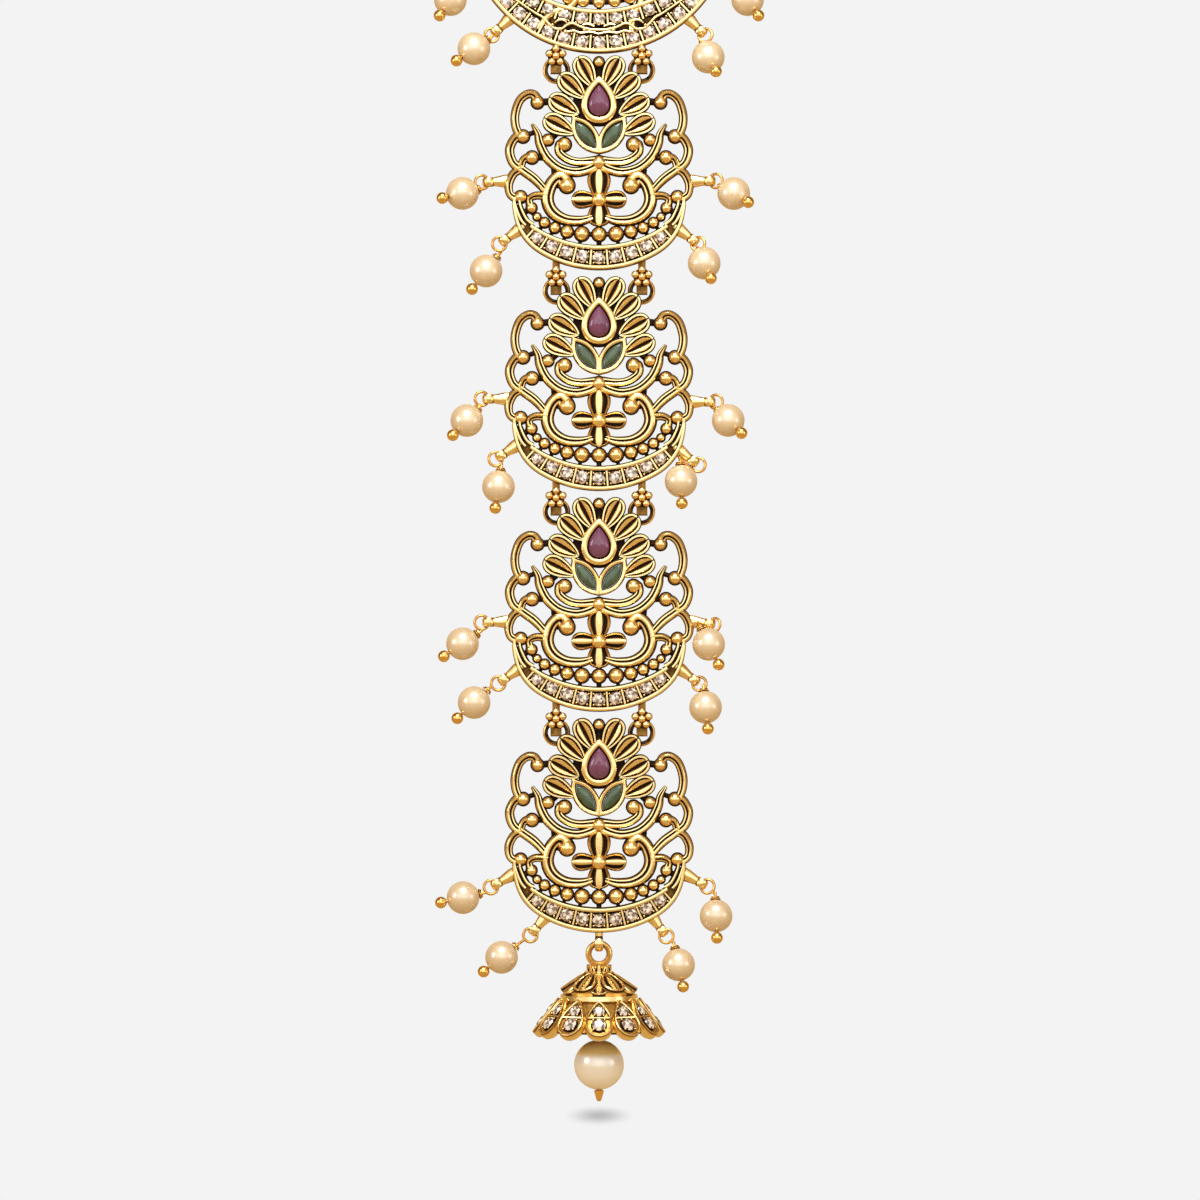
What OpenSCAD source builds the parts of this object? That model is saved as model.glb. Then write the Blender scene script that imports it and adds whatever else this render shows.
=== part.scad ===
// Braid ornament in antique gold: a head panel, four openwork panels on hooks and rings,
// twenty pearl drops and a bell. Millimetres, +Z up, front face towards -Y.
// The origin is the middle of the hair pin's bridge. Each panel is drawn flat, with u to the
// right, v up and w towards the viewer, and is then stood up by upright().

/* [Panels] */
// Distance from the hair pin's bridge down to the centre of the head panel
pin_to_head = 28.6; // [28.4:0.1:28.8]
// Distance from the centre of the head panel to the flower of panel 1
head_to_first = 56.14; // [55.9:0.01:56.4]
// Distance between the flowers of neighbouring panels
panel_pitch = 44.2; // [44:0.1:44.6]
// Radius of the round lower edge of a panel's crescent
edge_r = 22.8; // [22.7:0.1:22.9]
// Radius of the head panel's round outline
head_r = 26.8; // [26.6:0.1:27]
// Thickness of a panel's flat back plate
plate_t = 1.4; // [1.2:0.1:1.6]
// Height of the cast relief above the plate
relief_t = 0.8; // [0.5:0.1:1]

/* [Stones] */
// Radius of the small round stones
stone_r = 1.25; // [1:0.05:1.3]
// Clearance between a stone and its setting
stone_gap = 0.12; // [0.1:0.01:0.2]
// Number of stones in a panel's crescent
panel_stones = 9; // [7:2:9]
// Number of stones in each row of the head panel
head_stones = 13; // [9:2:13]

/* [Pearl drops] */
// Radius of a small pearl
pearl_r = 3.15; // [3:0.05:3.2]
// Radius of the wire loop that hangs in a peg's eyelet, to the wire's middle
loop_r = 1.4; // [1.35:0.05:1.5]
// Radius of the drops' wire
wire_r = 0.28; // [0.2:0.02:0.3]
// Radius of the ball at a pin's end
tip_r = 1.05; // [0.9:0.05:1.1]

/* [Bell] */
// Radius of the bell's skirt at its lower edge
skirt_r = 11.9; // [11.7:0.1:12.1]
// Number of petals round the skirt
bell_petals = 12; // [12:1:12]
// Radius of the large pearl
big_pearl_r = 5; // [4.8:0.1:5.1]

/* [Hidden] */
GOLD = "#d9a441";
STEEL = "#b98a35";
PEARL = "#f5ead6";
CLEAR = "#cbb2a6";
RUBY = "#96506e";
EMERALD = "#4b735a";

// Depths in a panel's own w direction
back_w = -2.2;
plate_w = back_w + plate_t;
relief_w = plate_w + relief_t;
rim_w = relief_w + 0.35;
mid_w = back_w + plate_t / 2;

// Crescent of a panel: the lower edge runs round the stones' own centre, the sides turn in sooner,
// and the inner edge is an arc of larger radius, set higher
row_c = [0, 8.8];
side_c = [0, 0.6];
side_r = 17.5;
crescent_c = [0, 14.2];
crescent_r = 23.4;
inner_rim = 0.2;
corner_r = 14;
row_r = 20.45;
row_step = 9.2;
cell_h = 2.9;

// Head panel: its circle is centred on its own origin
head_crescent_c = [0, 6.9];
head_crescent_r = 25.1;
head_outer_row_r = 24.8;
head_inner_row_r = 26.95;
head_outer_step = 8;
head_inner_step = 7.3;
head_bead_r = 23.55;
head_beads = 13;
head_band_r = 25.2;

// Rings at a panel's upper corners and the hooks of the panel above
ring_at = [8.5, 25.9];
ring_r = 2.25;
ring_wire = 0.52;
hook_at = [8.6, 28.7];
hook_gap = 0.3;
hook_t = 0.6;
hook_w = 1.5;
hook_foot = [2.2, 1.8, 2.4];
rosette_r = 1.42;
rosette_bead = 0.7;

// Pegs: edge-on eyelets on the rim
peg_reach = 3.5;
peg_w = 1.7;
peg_t = 1.3;
eye_r = 1.25;
eye_w = 1.3;
eye_bore = 0.8;

// Drops
cap_r = 1;
cap_t = 0.7;
cap_gap = 0.06;
neck_r = 0.24;
knuckle_r = 0.45;
tip_gap = 0.1;
pearl_bore = 0.42;
cap_at = pearl_r + cap_gap + cap_t / 2;
bend_at = cap_at + 0.8;

// Bell, measured down from the middle of its top ring
bell_foot_v = -13.2;
bell_eye_v = -16.3;
bell_eye_r = 1.65;
bell_eye_bore = 1;
bell_eye_t = 1.6;
bell_ring_r = 2.1;
bell_ring_wire = 0.62;
collar_top = -2.1;
collar_h = 1.7;
collar_r = 2.6;
dome_r = 7.1;
dome_z = -7.5;
band_z = -9;
skirt_z = -15.4;
shell_t = 0.9;
lobe_r = 2.6;
lobe_tip = 5.9;
lobe_t = 1.2;
skirt_seats = [[-2.3, stone_r], [0.9, stone_r * 0.85]];
big_pearl_z = -22.2;
inner_eye_z = -5.4;
inner_eye_r = 1.05;
inner_wire = 0.32;
inner_loop_gap = 0.3;

// Hair pin
prong_r = 0.6;
prong_x = 6;
prong_len = 28;
bend_r = 1.2;
top_ring_r = 1.9;
top_ring_wire = 0.5;

// Drops of each panel, measured from its origin. Columns: name, peg foot u, v, peg angle,
// loop swing and tilt in the eyelet, pearl u, v, w, pin angle, pin lean towards the front
HEAD_DROPS = [
    ["left_upper", -25.2, -9.2, -150, 0, 15, -29.7, -16.3, 0.8, -122, 30],
    ["left_lower", -17.9, -19.9, -137, 0, 10, -25.0, -26.1, 0.5, -144, 22],
    ["right_lower", 17.9, -19.9, -45, 0, 22, 21.8, -27.9, 2.1, -64, 42],
    ["right_upper", 25.2, -9.2, -30, 0, 15, 29.7, -16.3, 0.8, -58, 30],
];
PANEL_DROPS = [
    [
        ["left_upper", -18.6, 3.7, -177, 0, 15, -27.3, 1.1, 1.1, -165, 27],
        ["left_lower", -16.0, -6.0, -144, 0, 3, -22.6, -14.3, -1.4, -128, 3],
        ["right_lower", 16.0, -6.0, -37, 0, 22, 21.0, -12.9, 2.1, -68, 42],
        ["right_upper", 18.6, 3.7, 0, 0, 22, 26.9, 1.0, 2.2, -34, 42],
    ],
    [
        ["left_upper", -18.6, 4.3, 180, 0, 14, -26.4, -0.1, 1.0, -133, 28],
        ["left_lower", -16.6, -5.1, -147, 0, 10, -20.1, -13.3, 0.2, -98, 20],
        ["right_lower", 16.0, -6.0, -37, 0, 10, 16.4, -12.2, 0.4, -88, 15],
        ["right_upper", 18.6, 3.7, 0, 0, 20, 25.8, -0.1, 1.8, -45, 37],
    ],
    [
        ["left_upper", -18.6, 3.9, -178, 0, 6, -27.3, -0.5, -0.4, -146, 12],
        ["left_lower", -16.2, -5.6, -144, 0, 3, -25.0, -12.3, -1.1, -137, 4],
        ["right_lower", 16.2, -5.6, -37, 0, 11, 21.3, -13.2, 0.6, -84, 22],
        ["right_upper", 18.6, 3.9, -6, -12, 40, 21.9, -0.6, 2.0, -64, 12],
    ],
    [
        ["left_upper", -17.4, -2.6, -150, 0, 6, -27.2, -7.1, -0.3, -168, 12],
        ["left_lower", -10.6, -10.9, -130, 0, 3, -19.5, -19.1, -1.4, -142, 3],
        ["right_lower", 10.6, -10.9, -54, 0, 9, 15.9, -20.5, 0.4, -78, 18],
        ["right_upper", 17.4, -2.6, -28, 0, 10, 23.4, -10.7, 0.6, -88, 20],
    ],
];
DROPS = concat([HEAD_DROPS], PANEL_DROPS);
// Peg under panel 4 that carries the bell
BELL_PEG = ["bell", 0, bell_foot_v, -90];
PLACES = ["head", "panel_1", "panel_2", "panel_3", "panel_4"];

// Right-hand half of a panel's openwork. Each stroke is a list of points [u, v, half-width].
SCROLLS = [
    // large scroll beside the flower
    [[6.6, 3, 1.1], [7.3, 4.4, 0.9], [8.2, 4.4, 0.8], [9.7, 2.9, 0.8], [10.5, 0.6, 0.8], [10.1, -1.5, 0.8],
     [8.7, -3.2, 0.8], [6.4, -4.2, 0.75], [3.6, -4.3, 0.7], [1.3, -3.6, 0.5]],
    // small curl under it
    [[10.3, 0.6, 0.6], [12.6, 0.8, 0.6], [14, 0, 0.55], [13.6, -1.7, 0.9]],
    // lower scroll of the rim
    [[15.3, 6.1, 0.6], [17, 5.3, 0.65], [18.05, 3.2, 0.65], [17.8, 1.1, 0.6], [16.4, 0.2, 0.7], [15.7, 0.5, 1.1]],
    // crossing stem
    [[15.2, 12.6, 1.1], [16.8, 12.3, 0.7], [17.9, 10, 0.7], [17.2, 7.4, 0.7], [15.2, 5.8, 0.7],
     [12.9, 4.1, 0.7], [10.8, 1.9, 0.6]],
    // curl inside the stem
    [[13.4, 8.4, 1.1], [15, 8.1, 0.6], [15.7, 6.4, 0.6]],
    // top scroll
    [[12.3, 19.4, 1.05], [12.9, 20.9, 0.7], [14.3, 21.1, 0.65], [15.9, 19.8, 0.65], [16.8, 17.1, 0.65],
     [16.7, 14.7, 0.65], [15.9, 12.7, 0.65]],
    // long inner scroll with its pointed tip
    [[0, 7.2, 0.9], [1.9, 6.1, 0.75], [4.7, 5.5, 0.75], [7.9, 6.3, 0.75], [10.4, 8.4, 0.75],
     [11.8, 11.1, 0.7], [12.3, 13.2, 0.55], [13.4, 15.1, 0.3]],
    // upper inner scroll
    [[0.6, 7.7, 0.8], [3.8, 7.5, 0.65], [6.1, 8, 0.65], [7.9, 9.4, 0.65], [7.9, 11, 0.7], [6.9, 11, 1.1]],
    // blunt end of the crescent's horn, under the lower scroll
    [[16.4, 0.2, 0.9], [16.35, -1.2, 1.05], [15.9, -2.7, 1.1], [15, -4.3, 1]],
    // joints that hold the petals, beads and scrolls together
    [[10.2, 11.9, 0.8], [8.4, 13.4, 0.7]],
    [[10.2, 11.9, 0.8], [11.9, 12.1, 0.6]],
    [[12.3, 19.4, 0.7], [9.6, 19.7, 0.7]],
    [[12.6, 13.6, 0.5], [15.2, 12.7, 0.5]],
    [[10.4, 8.4, 0.6], [13.4, 8.4, 0.6]],
    [[13.6, -1.7, 0.6], [15, -2.6, 0.6]],
    [[9.2, 7.2, 0.5], [9, 4.4, 0.5]],
];
// Loose beads of the openwork, right-hand half. Columns: u, v, radius
SCROLL_BEADS = [
    [6.5, 2.8, 1.2], [13.5, -1.7, 0.95], [15.7, 0.5, 1.1], [15.2, 12.6, 1.15], [13.4, 8.4, 1.15],
    [12.3, 19.4, 1.1], [6.9, 11, 1.2], [10.2, 11.9, 1],
];
// Bead row above the crescent, right-hand half. Columns: u, v, radius
ROW_BEADS = [
    [3.42, -6.9, 1.25], [6.38, -6.45, 1.12], [8.85, -5.7, 1], [10.9, -4.65, 0.88], [12.4, -3.5, 0.72],
];
// Petals round the ruby, right-hand half. Columns: u, v, angle
PETALS = [[2.9, 26, 62], [5.9, 23.1, 43], [7.6, 19.1, 30], [8.6, 15.1, 27]];
petal_len = 5.3;
petal_w = 3.4;
web_r = 5.2;
knot = [0, 7.4, 1.25];
crown_bead = [0, 27.5, 0.95];
// Half-widths of its stem, under the bead and at the web
crown_stem = [1.2, 1];
// Flower petals. Columns: angle, length, half-width
FLOWER = [[90, 6.1, 1.7], [180, 5.5, 1.4], [0, 5.5, 1.4], [-90, 5.4, 1.65]];
boss_r = 1.45;
// Ruby: drop shape with its point up. Bezels stand round the stones.
ruby_c = [0, 19];
ruby_r = 2.4;
ruby_tip = 3.8;
ruby_bezel = 1.15;
// Emeralds: leaf shapes with their points on one line
emerald_c = [2.7, 12.8];
emerald_angle = 53;
emerald_len = 6;
emerald_w = 2.5;
emerald_bezel = 1;

DROP_NAMES = [for (k = [0:4]) for (d = DROPS[k]) str(PLACES[k], "_pearl_", d[0])];

function on(a, r) = [r * cos(a), r * sin(a)];
function unit(v) = v / norm(v);
// Height of the origin of place k, 0 for the head panel
function place_z(k) = k == 0 ? -pin_to_head : -pin_to_head - head_to_first - (k - 1) * panel_pitch;
// Smooth curve through points, two steps between neighbours
function smooth(p) = [
    for (i = [0:len(p) - 2]) for (t = [0, 0.5]) blend(
        p[max(i - 1, 0)], p[i], p[i + 1], p[min(i + 2, len(p) - 1)], t),
    p[len(p) - 1]
];
function blend(a, b, c, d, t) =
    0.5 * (2 * b + (c - a) * t + (2 * a - 5 * b + 4 * c - d) * t * t + (3 * b - a - 3 * c + d) * t * t * t);

// Stands a flat panel up at its place
module upright(k) translate([0, 0, place_z(k)]) rotate([90, 0, 0]) children();
module both_sides() {
    children();
    mirror([1, 0, 0]) children();
}
module slab(low, high) translate([0, 0, low]) linear_extrude(high - low) children();
module ball(at, r) translate(at) sphere(r, $fn = 32);
// Straight round bar between two points
module rod(a, b, r, sides = 32) {
    d = b - a;
    translate(a) rotate([0, acos(d[2] / norm(d)), atan2(d[1], d[0])]) cylinder(h = norm(d), r = r, $fn = sides);
}
module torus(r, wire) rotate_extrude($fn = 48) translate([r, 0]) circle(wire, $fn = 24);
// Wire loop of a pearl drop, in short straight pieces
module wire_loop() rotate_extrude($fn = 12) translate([loop_r, 0]) circle(wire_r, $fn = 6);

// Flat shapes
// Points of a stroke's edge: side is 1 for the left edge and -1 for the right one
function edge_points(p, side, grow) = [
    for (i = [0:len(p) - 1])
        let (a = p[max(i - 1, 0)], b = p[min(i + 1, len(p) - 1)], t = unit([b[0] - a[0], b[1] - a[1]]))
        [p[i][0], p[i][1]] + side * max(p[i][2] + grow, 0.1) * [-t[1], t[0]]
];
// Stroke with round ends whose width follows the points
module stroke_2d(points, grow = 0) {
    p = smooth(points);
    left = edge_points(p, 1, grow);
    right = edge_points(p, -1, grow);
    for (i = [0:len(p) - 2]) polygon([left[i], left[i + 1], right[i + 1], right[i]]);
    for (q = [p[0], p[len(p) - 1]]) translate([q[0], q[1]]) circle(max(q[2] + grow, 0.1), $fn = 8);
}
module leaf_2d(length, width) {
    r = (length * length / 4 + width * width / 4) / width;
    intersection() {
        translate([0, r - width / 2]) circle(r, $fn = 36);
        translate([0, width / 2 - r]) circle(r, $fn = 36);
    }
}
// Drop with its point up, its widest part at half-width r round the origin
function drop_points(r, tip, n) = [for (i = [0:n - 1]) let (t = i * 360 / n)
    [r * 1.3 * sin(t) * sin(t / 2) ^ 1.6, (tip - r) / 2 + (tip + r) / 2 * cos(t)]];
module drop_2d(r, tip) polygon(drop_points(r, tip, 20));
// One petal along u, its narrow end at the left
module petal_2d(length, width, grow = 0) polygon([for (i = [0:11]) let (t = i * 30)
    [(length / 2 + grow) * cos(t), (width / 2 + grow) * sin(t) * (1 + 0.35 * cos(t))]]);
module ruby_2d(grow = 0) translate(ruby_c) offset(grow, $fn = 16) drop_2d(ruby_r, ruby_tip);
module emerald_2d(grow = 0)
    translate(emerald_c) rotate(emerald_angle) offset(grow, $fn = 16) leaf_2d(emerald_len, emerald_w);
module crescent_2d() difference() {
    offset(corner_r, $fn = 48) offset(-corner_r) intersection() {
        translate(row_c) circle(edge_r, $fn = 72);
        translate(side_c) circle(side_r, $fn = 72);
    }
    translate(crescent_c) circle(crescent_r, $fn = 72);
}
// Band between two radii round a centre, cut to an angle on each side of straight down
module arc_band_2d(c, r1, r2, half) translate(c) intersection() {
    difference() {
        circle(r2, $fn = 72);
        circle(r1, $fn = 72);
    }
    polygon(concat([[0, 0]], [for (i = [-4:4]) on(-90 + i * half / 4, r2 * 1.3)]));
}
module flower_2d(grow = 0) for (f = FLOWER) rotate(f[0]) translate([f[1] / 2, 0])
    petal_2d(f[1], 1.6 * f[2], grow);
module scrolls_2d(grow = 0) both_sides() for (s = SCROLLS) stroke_2d(s, grow);
module petals_2d(grow = 0) both_sides() for (p = PETALS)
    translate([p[0], p[1]]) rotate(p[2]) petal_2d(petal_len, petal_w, grow);
module bead_bar_2d() {
    both_sides() {
        stroke_2d([[0, -7, 0.5], for (b = ROW_BEADS) [b[0], b[1], 0.5], [13.6, -2.2, 0.6]]);
        for (b = ROW_BEADS) if (b[2] > 0.9) stroke_2d([[b[0], b[1], 0.45], [b[0] * 1.16, b[1] - 2.2, 0.45]]);
    }
    stroke_2d([[0, -4, 0.6], [0, -10, 0.5]]);
}

// Outline of a whole openwork panel
module panel_2d() offset(delta = 0.01) {
    crescent_2d();
    scrolls_2d();
    petals_2d();
    bead_bar_2d();
    flower_2d(0.15);
    ruby_2d(ruby_bezel);
    both_sides() emerald_2d(emerald_bezel);
    stroke_2d([[0, 5, 0.7], [0, 9.5, 0.8]]);
    // web behind the bezels that carries the petals
    translate(ruby_c + [0, 0.8]) circle(web_r, $fn = 32);
    both_sides() for (p = PETALS) stroke_2d([[p[0], p[1], 0.8],
        concat([p[0], p[1]] - on(p[2], 3.6), [0.8])]);
    stroke_2d([[0, 16.5, 1.2], [0, 13, 1.2]]);
    stroke_2d([[0, crown_bead[1] - 1, crown_stem[0]], [0, ruby_c[1] + web_r, crown_stem[1]]]);
}

// Edge-on eyelet on the rim, drilled across
module peg(d, reach = peg_reach, r = eye_r, w = peg_w, eye_w = eye_w) translate([d[1], d[2], mid_w]) rotate([0, 0, d[3]]) {
    translate([-1.2, -w / 2, -peg_t / 2]) cube([reach + 1.2 - r * 0.8, w, peg_t]);
    translate([reach, eye_w / 2, 0]) rotate([90, 0, 0]) cylinder(h = eye_w, r = r, $fn = 40);
}
module peg_bore(d, reach = peg_reach, bore = eye_bore, w = peg_w)
    translate([d[1], d[2], mid_w]) rotate([0, 0, d[3]])
        translate([reach, w, 0]) rotate([90, 0, 0]) cylinder(h = 2 * w, r = bore, $fn = 40);

// Strap that runs down behind the ring below, round its upper wire and up to a rosette, with a
// heavy foot inside the ring.
// at is the rosette's centre, edge the height of the rim that carries the strap.
module hook(at, edge) {
    bar = at[1] - hook_at[1] + ring_at[1] + ring_r;
    inner = ring_wire + hook_gap;
    outer = inner + hook_t;
    translate([at[0] - hook_w / 2, bar, mid_w]) rotate([90, 0, 90]) linear_extrude(hook_w) {
        difference() {
            circle(outer, $fn = 48);
            circle(inner, $fn = 48);
            translate([0, -outer]) square([2 * outer, 2 * outer]);
        }
    }
    translate([at[0], bar - outer + 0.2 - hook_foot[1] / 2, mid_w]) cube(hook_foot, center = true);
    translate([at[0] - hook_w / 2, bar - 0.01, mid_w - outer]) cube([hook_w, edge + 1.4 - bar, hook_t]);
    translate([at[0] - hook_w / 2, edge + 0.1, mid_w - outer]) cube([hook_w, 1.3, hook_t + 0.4]);
    translate([at[0] - hook_w / 2, bar - 0.01, mid_w + inner]) cube([hook_w, at[1] - bar + 0.5, hook_t]);
    translate([at[0], at[1], mid_w + inner]) cylinder(h = hook_t, r = rosette_r + 0.35, $fn = 40);
    for (i = [0:5]) {
        p = i == 0 ? [0, 0] : on(90 + i * 72, rosette_r);
        ball([at[0] + p[0], at[1] + p[1], mid_w + outer + 0.15], rosette_bead);
    }
}

// Bars between the stones of a row
module row_bars(c, r, step, count, h) for (i = [1 - count / 2:count / 2 - 1])
    slab(plate_w, relief_w + 0.1) translate(c) rotate(i * step) translate([0, -r]) square([0.42, h], center = true);

module panel_body(k) color(GOLD) upright(k) difference() {
    union() {
        slab(back_w, plate_w) panel_2d();
        // raised ridges of the scrolls, petals and flower
        slab(plate_w, relief_w - 0.2) offset(delta = 0.01) {
            scrolls_2d(-0.3);
            petals_2d(-0.35);
            flower_2d(-0.2);
        }
        slab(plate_w, rim_w) difference() {
            crescent_2d();
            difference() {
                arc_band_2d(row_c, row_r - cell_h / 2, row_r + cell_h / 2, row_step * panel_stones / 2 + 0.5);
                translate(crescent_c) circle(crescent_r + inner_rim, $fn = 72);
            }
        }
        row_bars(row_c, row_r, row_step, panel_stones, cell_h + 0.3);
        slab(plate_w, rim_w) difference() {
            ruby_2d(ruby_bezel);
            ruby_2d(stone_gap);
        }
        both_sides() slab(plate_w, rim_w - 0.1) difference() {
            emerald_2d(emerald_bezel);
            emerald_2d(stone_gap);
            ruby_2d(ruby_bezel - 0.1);
        }
        ball([0, 0, relief_w - 0.3], boss_r);
        ball([knot[0], knot[1], plate_w + 0.3], knot[2]);
        ball([crown_bead[0], crown_bead[1], plate_w + 0.2], crown_bead[2]);
        ball([0, -7, plate_w + 0.2], 1.3);
        both_sides() {
            for (b = concat(ROW_BEADS, SCROLL_BEADS)) ball([b[0], b[1], plate_w + 0.2], b[2]);
            translate([ring_at[0], ring_at[1], mid_w]) torus(ring_r, ring_wire);
            if (k < 4) hook(hook_at - [0, panel_pitch], row_c[1] - sqrt(edge_r ^ 2 - hook_at[0] ^ 2));
        }
        for (d = DROPS[k]) peg(d);
        if (k == 4) peg(BELL_PEG, bell_foot_v - bell_eye_v, bell_eye_r, bell_eye_t, bell_eye_t);
    }
    for (d = DROPS[k]) peg_bore(d);
    if (k == 4) peg_bore(BELL_PEG, bell_foot_v - bell_eye_v, bell_eye_bore, bell_eye_t);
}

module head_row_bars() {
    row_bars([0, 0], head_outer_row_r, head_outer_step, head_stones, 3.2);
    row_bars(head_crescent_c, head_inner_row_r, head_inner_step, head_stones, 3);
}
module head_2d() offset(delta = 0.01) {
    difference() {
        circle(head_r, $fn = 120);
        translate(head_crescent_c) circle(head_crescent_r, $fn = 120);
    }
    difference() {
        circle(head_r, $fn = 120);
        circle(head_band_r, $fn = 120);
    }
    arc_band_2d(head_crescent_c, head_bead_r - 0.5, head_bead_r + 0.5, 50);
    for (i = [-6:2:6]) translate(head_crescent_c) rotate(i * 8) translate([0, -head_bead_r - 1])
        square([0.9, 3], center = true);
    // centre flower and eight plain spokes
    for (i = [0:7]) rotate(i * 45 + 22.5) {
        translate([5, 0]) petal_2d(7, 4.2);
        stroke_2d([[7, 0, 0.9], [12, 2.2, 0.8], [18, 1.6, 0.8], [21, -1.5, 0.8], [25, -3, 0.8]]);
    }
}
module head_panel() color(GOLD) upright(0) difference() {
    union() {
        slab(back_w, plate_w) head_2d();
        slab(plate_w, rim_w) difference() {
            circle(head_r, $fn = 120);
            translate(head_crescent_c) circle(head_crescent_r, $fn = 120);
            arc_band_2d([0, 0], head_outer_row_r - 1.5, head_outer_row_r + 1.45, head_outer_step * head_stones / 2);
            arc_band_2d(head_crescent_c, head_inner_row_r - 1.4, head_inner_row_r + 1.35,
                head_inner_step * head_stones / 2);
        }
        head_row_bars();
        slab(plate_w, relief_w) for (i = [0:7]) rotate(i * 45 + 22.5) translate([5, 0]) petal_2d(7, 4.2, -0.5);
        ball([0, 0, relief_w - 0.4], 2);
        for (i = [-(head_beads - 1) / 2:(head_beads - 1) / 2]) {
            p = head_crescent_c + on(-90 + i * 8, head_bead_r);
            ball([p[0], p[1], plate_w + 0.2], 1.3);
        }
        both_sides() {
            hook([hook_at[0], hook_at[1] - head_to_first], -sqrt(head_r ^ 2 - hook_at[0] ^ 2));
            translate([prong_x, pin_to_head - (top_ring_r - top_ring_wire - prong_r - 0.2), mid_w])
                torus(top_ring_r, top_ring_wire);
        }
        for (d = HEAD_DROPS) peg(d);
    }
    for (d = HEAD_DROPS) peg_bore(d);
}

// Round stone: pointed foot, eight crown facets and a table
module round_stone(r) rotate_extrude($fn = 8) polygon([[0, 0], [r, 0.45], [r * 0.6, 0.95], [0, 0.95]]);
module stone_row(c, r, step, count, size) for (i = [-(count - 1) / 2:(count - 1) / 2])
    translate([c[0], c[1], plate_w + stone_gap]) rotate([0, 0, i * step]) translate([0, -r]) round_stone(size);
module panel_stones(k) color(CLEAR) upright(k) stone_row(row_c, row_r, row_step, panel_stones, stone_r);
module head_outer_stones() color(CLEAR) upright(0)
    stone_row([0, 0], head_outer_row_r, head_outer_step, head_stones, stone_r + 0.05);
module head_inner_stones() color(CLEAR) upright(0)
    stone_row(head_crescent_c, head_inner_row_r, head_inner_step, head_stones, stone_r - 0.05);

// Low domed stones with a small table, in their bezels
module ruby(k) color(RUBY) upright(k) hull() {
    slab(plate_w + stone_gap, relief_w) ruby_2d();
    slab(relief_w, rim_w) ruby_2d(-0.35);
    slab(rim_w, rim_w + 0.35) ruby_2d(-1.1);
}
module emerald(k) color(EMERALD) upright(k) hull() {
    slab(plate_w + stone_gap, relief_w - 0.1) emerald_2d();
    slab(relief_w - 0.1, rim_w + 0.1) emerald_2d(-0.45);
}

// Pearl drop: the loop lies in the peg's eyelet, and a straight neck joins it to the pin's knuckle.
// Where the bend lies back towards the peg, the neck leaves from the loop's side.
function on3(a, lean) = [cos(a) * cos(lean), sin(a) * cos(lean), sin(lean)];
function drop_eye(d) = concat([d[1], d[2]] + on(d[3], peg_reach), [mid_w]);
function loop_out(d) = on3(d[3] + d[4], d[5]);
function loop_side(d) = on3(d[3] + d[4] + 90, 0);
function drop_loop(d) = drop_eye(d) + loop_r * loop_out(d);
function pin_dir(d) = on3(d[9], d[10]);
function drop_pearl(d) = [d[6], d[7], d[8]];
function drop_bend(d) = drop_pearl(d) - bend_at * pin_dir(d);
function drop_neck(d) = let (s = drop_bend(d) - drop_loop(d), q = unit([max(s * loop_out(d), 0), s * loop_side(d)]))
    drop_loop(d) + loop_r * (q[0] * loop_out(d) + q[1] * loop_side(d));

module along(at, dir) translate(at) rotate([0, acos(dir[2]), atan2(dir[1], dir[0])]) children();
module pearl(k, d) color(PEARL) upright(k) along(drop_pearl(d), pin_dir(d)) difference() {
    sphere(pearl_r, $fn = 48);
    translate([0, 0, -pearl_r - 1]) cylinder(h = 2 * pearl_r + 2, r = pearl_bore, $fn = 32);
}
module pin(d) {
    bend = drop_bend(d);
    tip = drop_pearl(d) + (pearl_r + tip_gap + tip_r) * pin_dir(d);
    translate(drop_loop(d)) rotate([0, 0, d[3] + d[4]]) rotate([0, -d[5], 0]) wire_loop();
    rod(drop_neck(d), bend, neck_r, 6);
    translate(bend) sphere(knuckle_r, $fn = 8);
    along(drop_pearl(d) - cap_at * pin_dir(d), pin_dir(d)) translate([0, 0, -cap_t / 2])
        cylinder(h = cap_t, r = cap_r, $fn = 12);
    rod(bend, tip, wire_r, 8);
    translate(tip) sphere(tip_r, $fn = 10);
}
module pins(k) color(STEEL) upright(k) for (d = DROPS[k]) pin(d);

// Bell hung on the eyelet under panel 4, its top ring's wire through the bore
bell_z = place_z(4) + bell_eye_v - bell_ring_r;
module at_bell() translate([0, -mid_w, bell_z]) children();
slope = atan2(band_z - skirt_z, skirt_r - dome_r);
module on_skirt(i) rotate([0, 0, i * 360 / bell_petals])
    translate([0, -(dome_r + skirt_r) / 2, (band_z + skirt_z) / 2]) rotate([slope, 0, 0]) children();
module bell() color(GOLD) at_bell() {
    rotate([90, 0, 0]) torus(bell_ring_r, bell_ring_wire);
    rotate_extrude($fn = 96) polygon([
        [0, collar_top], [collar_r, collar_top - 0.3], [collar_r, collar_top - collar_h], [dome_r - 2, dome_z + 2],
        [dome_r, dome_z], [dome_r, band_z], [skirt_r, skirt_z], [skirt_r - shell_t, skirt_z - 0.3],
        [dome_r - shell_t, band_z], [dome_r - shell_t, dome_z], [dome_r - 2.8, dome_z + 1.6],
        [collar_r - 0.6, collar_top - collar_h - 0.3], [0, collar_top - collar_h - 0.3]]);
    for (i = [0:bell_petals - 1]) on_skirt(i) difference() {
        translate([0, -2.1, -0.1]) linear_extrude(lobe_t) drop_2d(lobe_r, lobe_tip);
        for (s = skirt_seats)
            translate([0, s[0], 0.35]) cylinder(h = 2, r = s[1] + stone_gap, $fn = 24);
    }
    translate([0, 0, inner_eye_z]) rotate([0, 90, 0]) torus(inner_eye_r, inner_wire);
}
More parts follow.
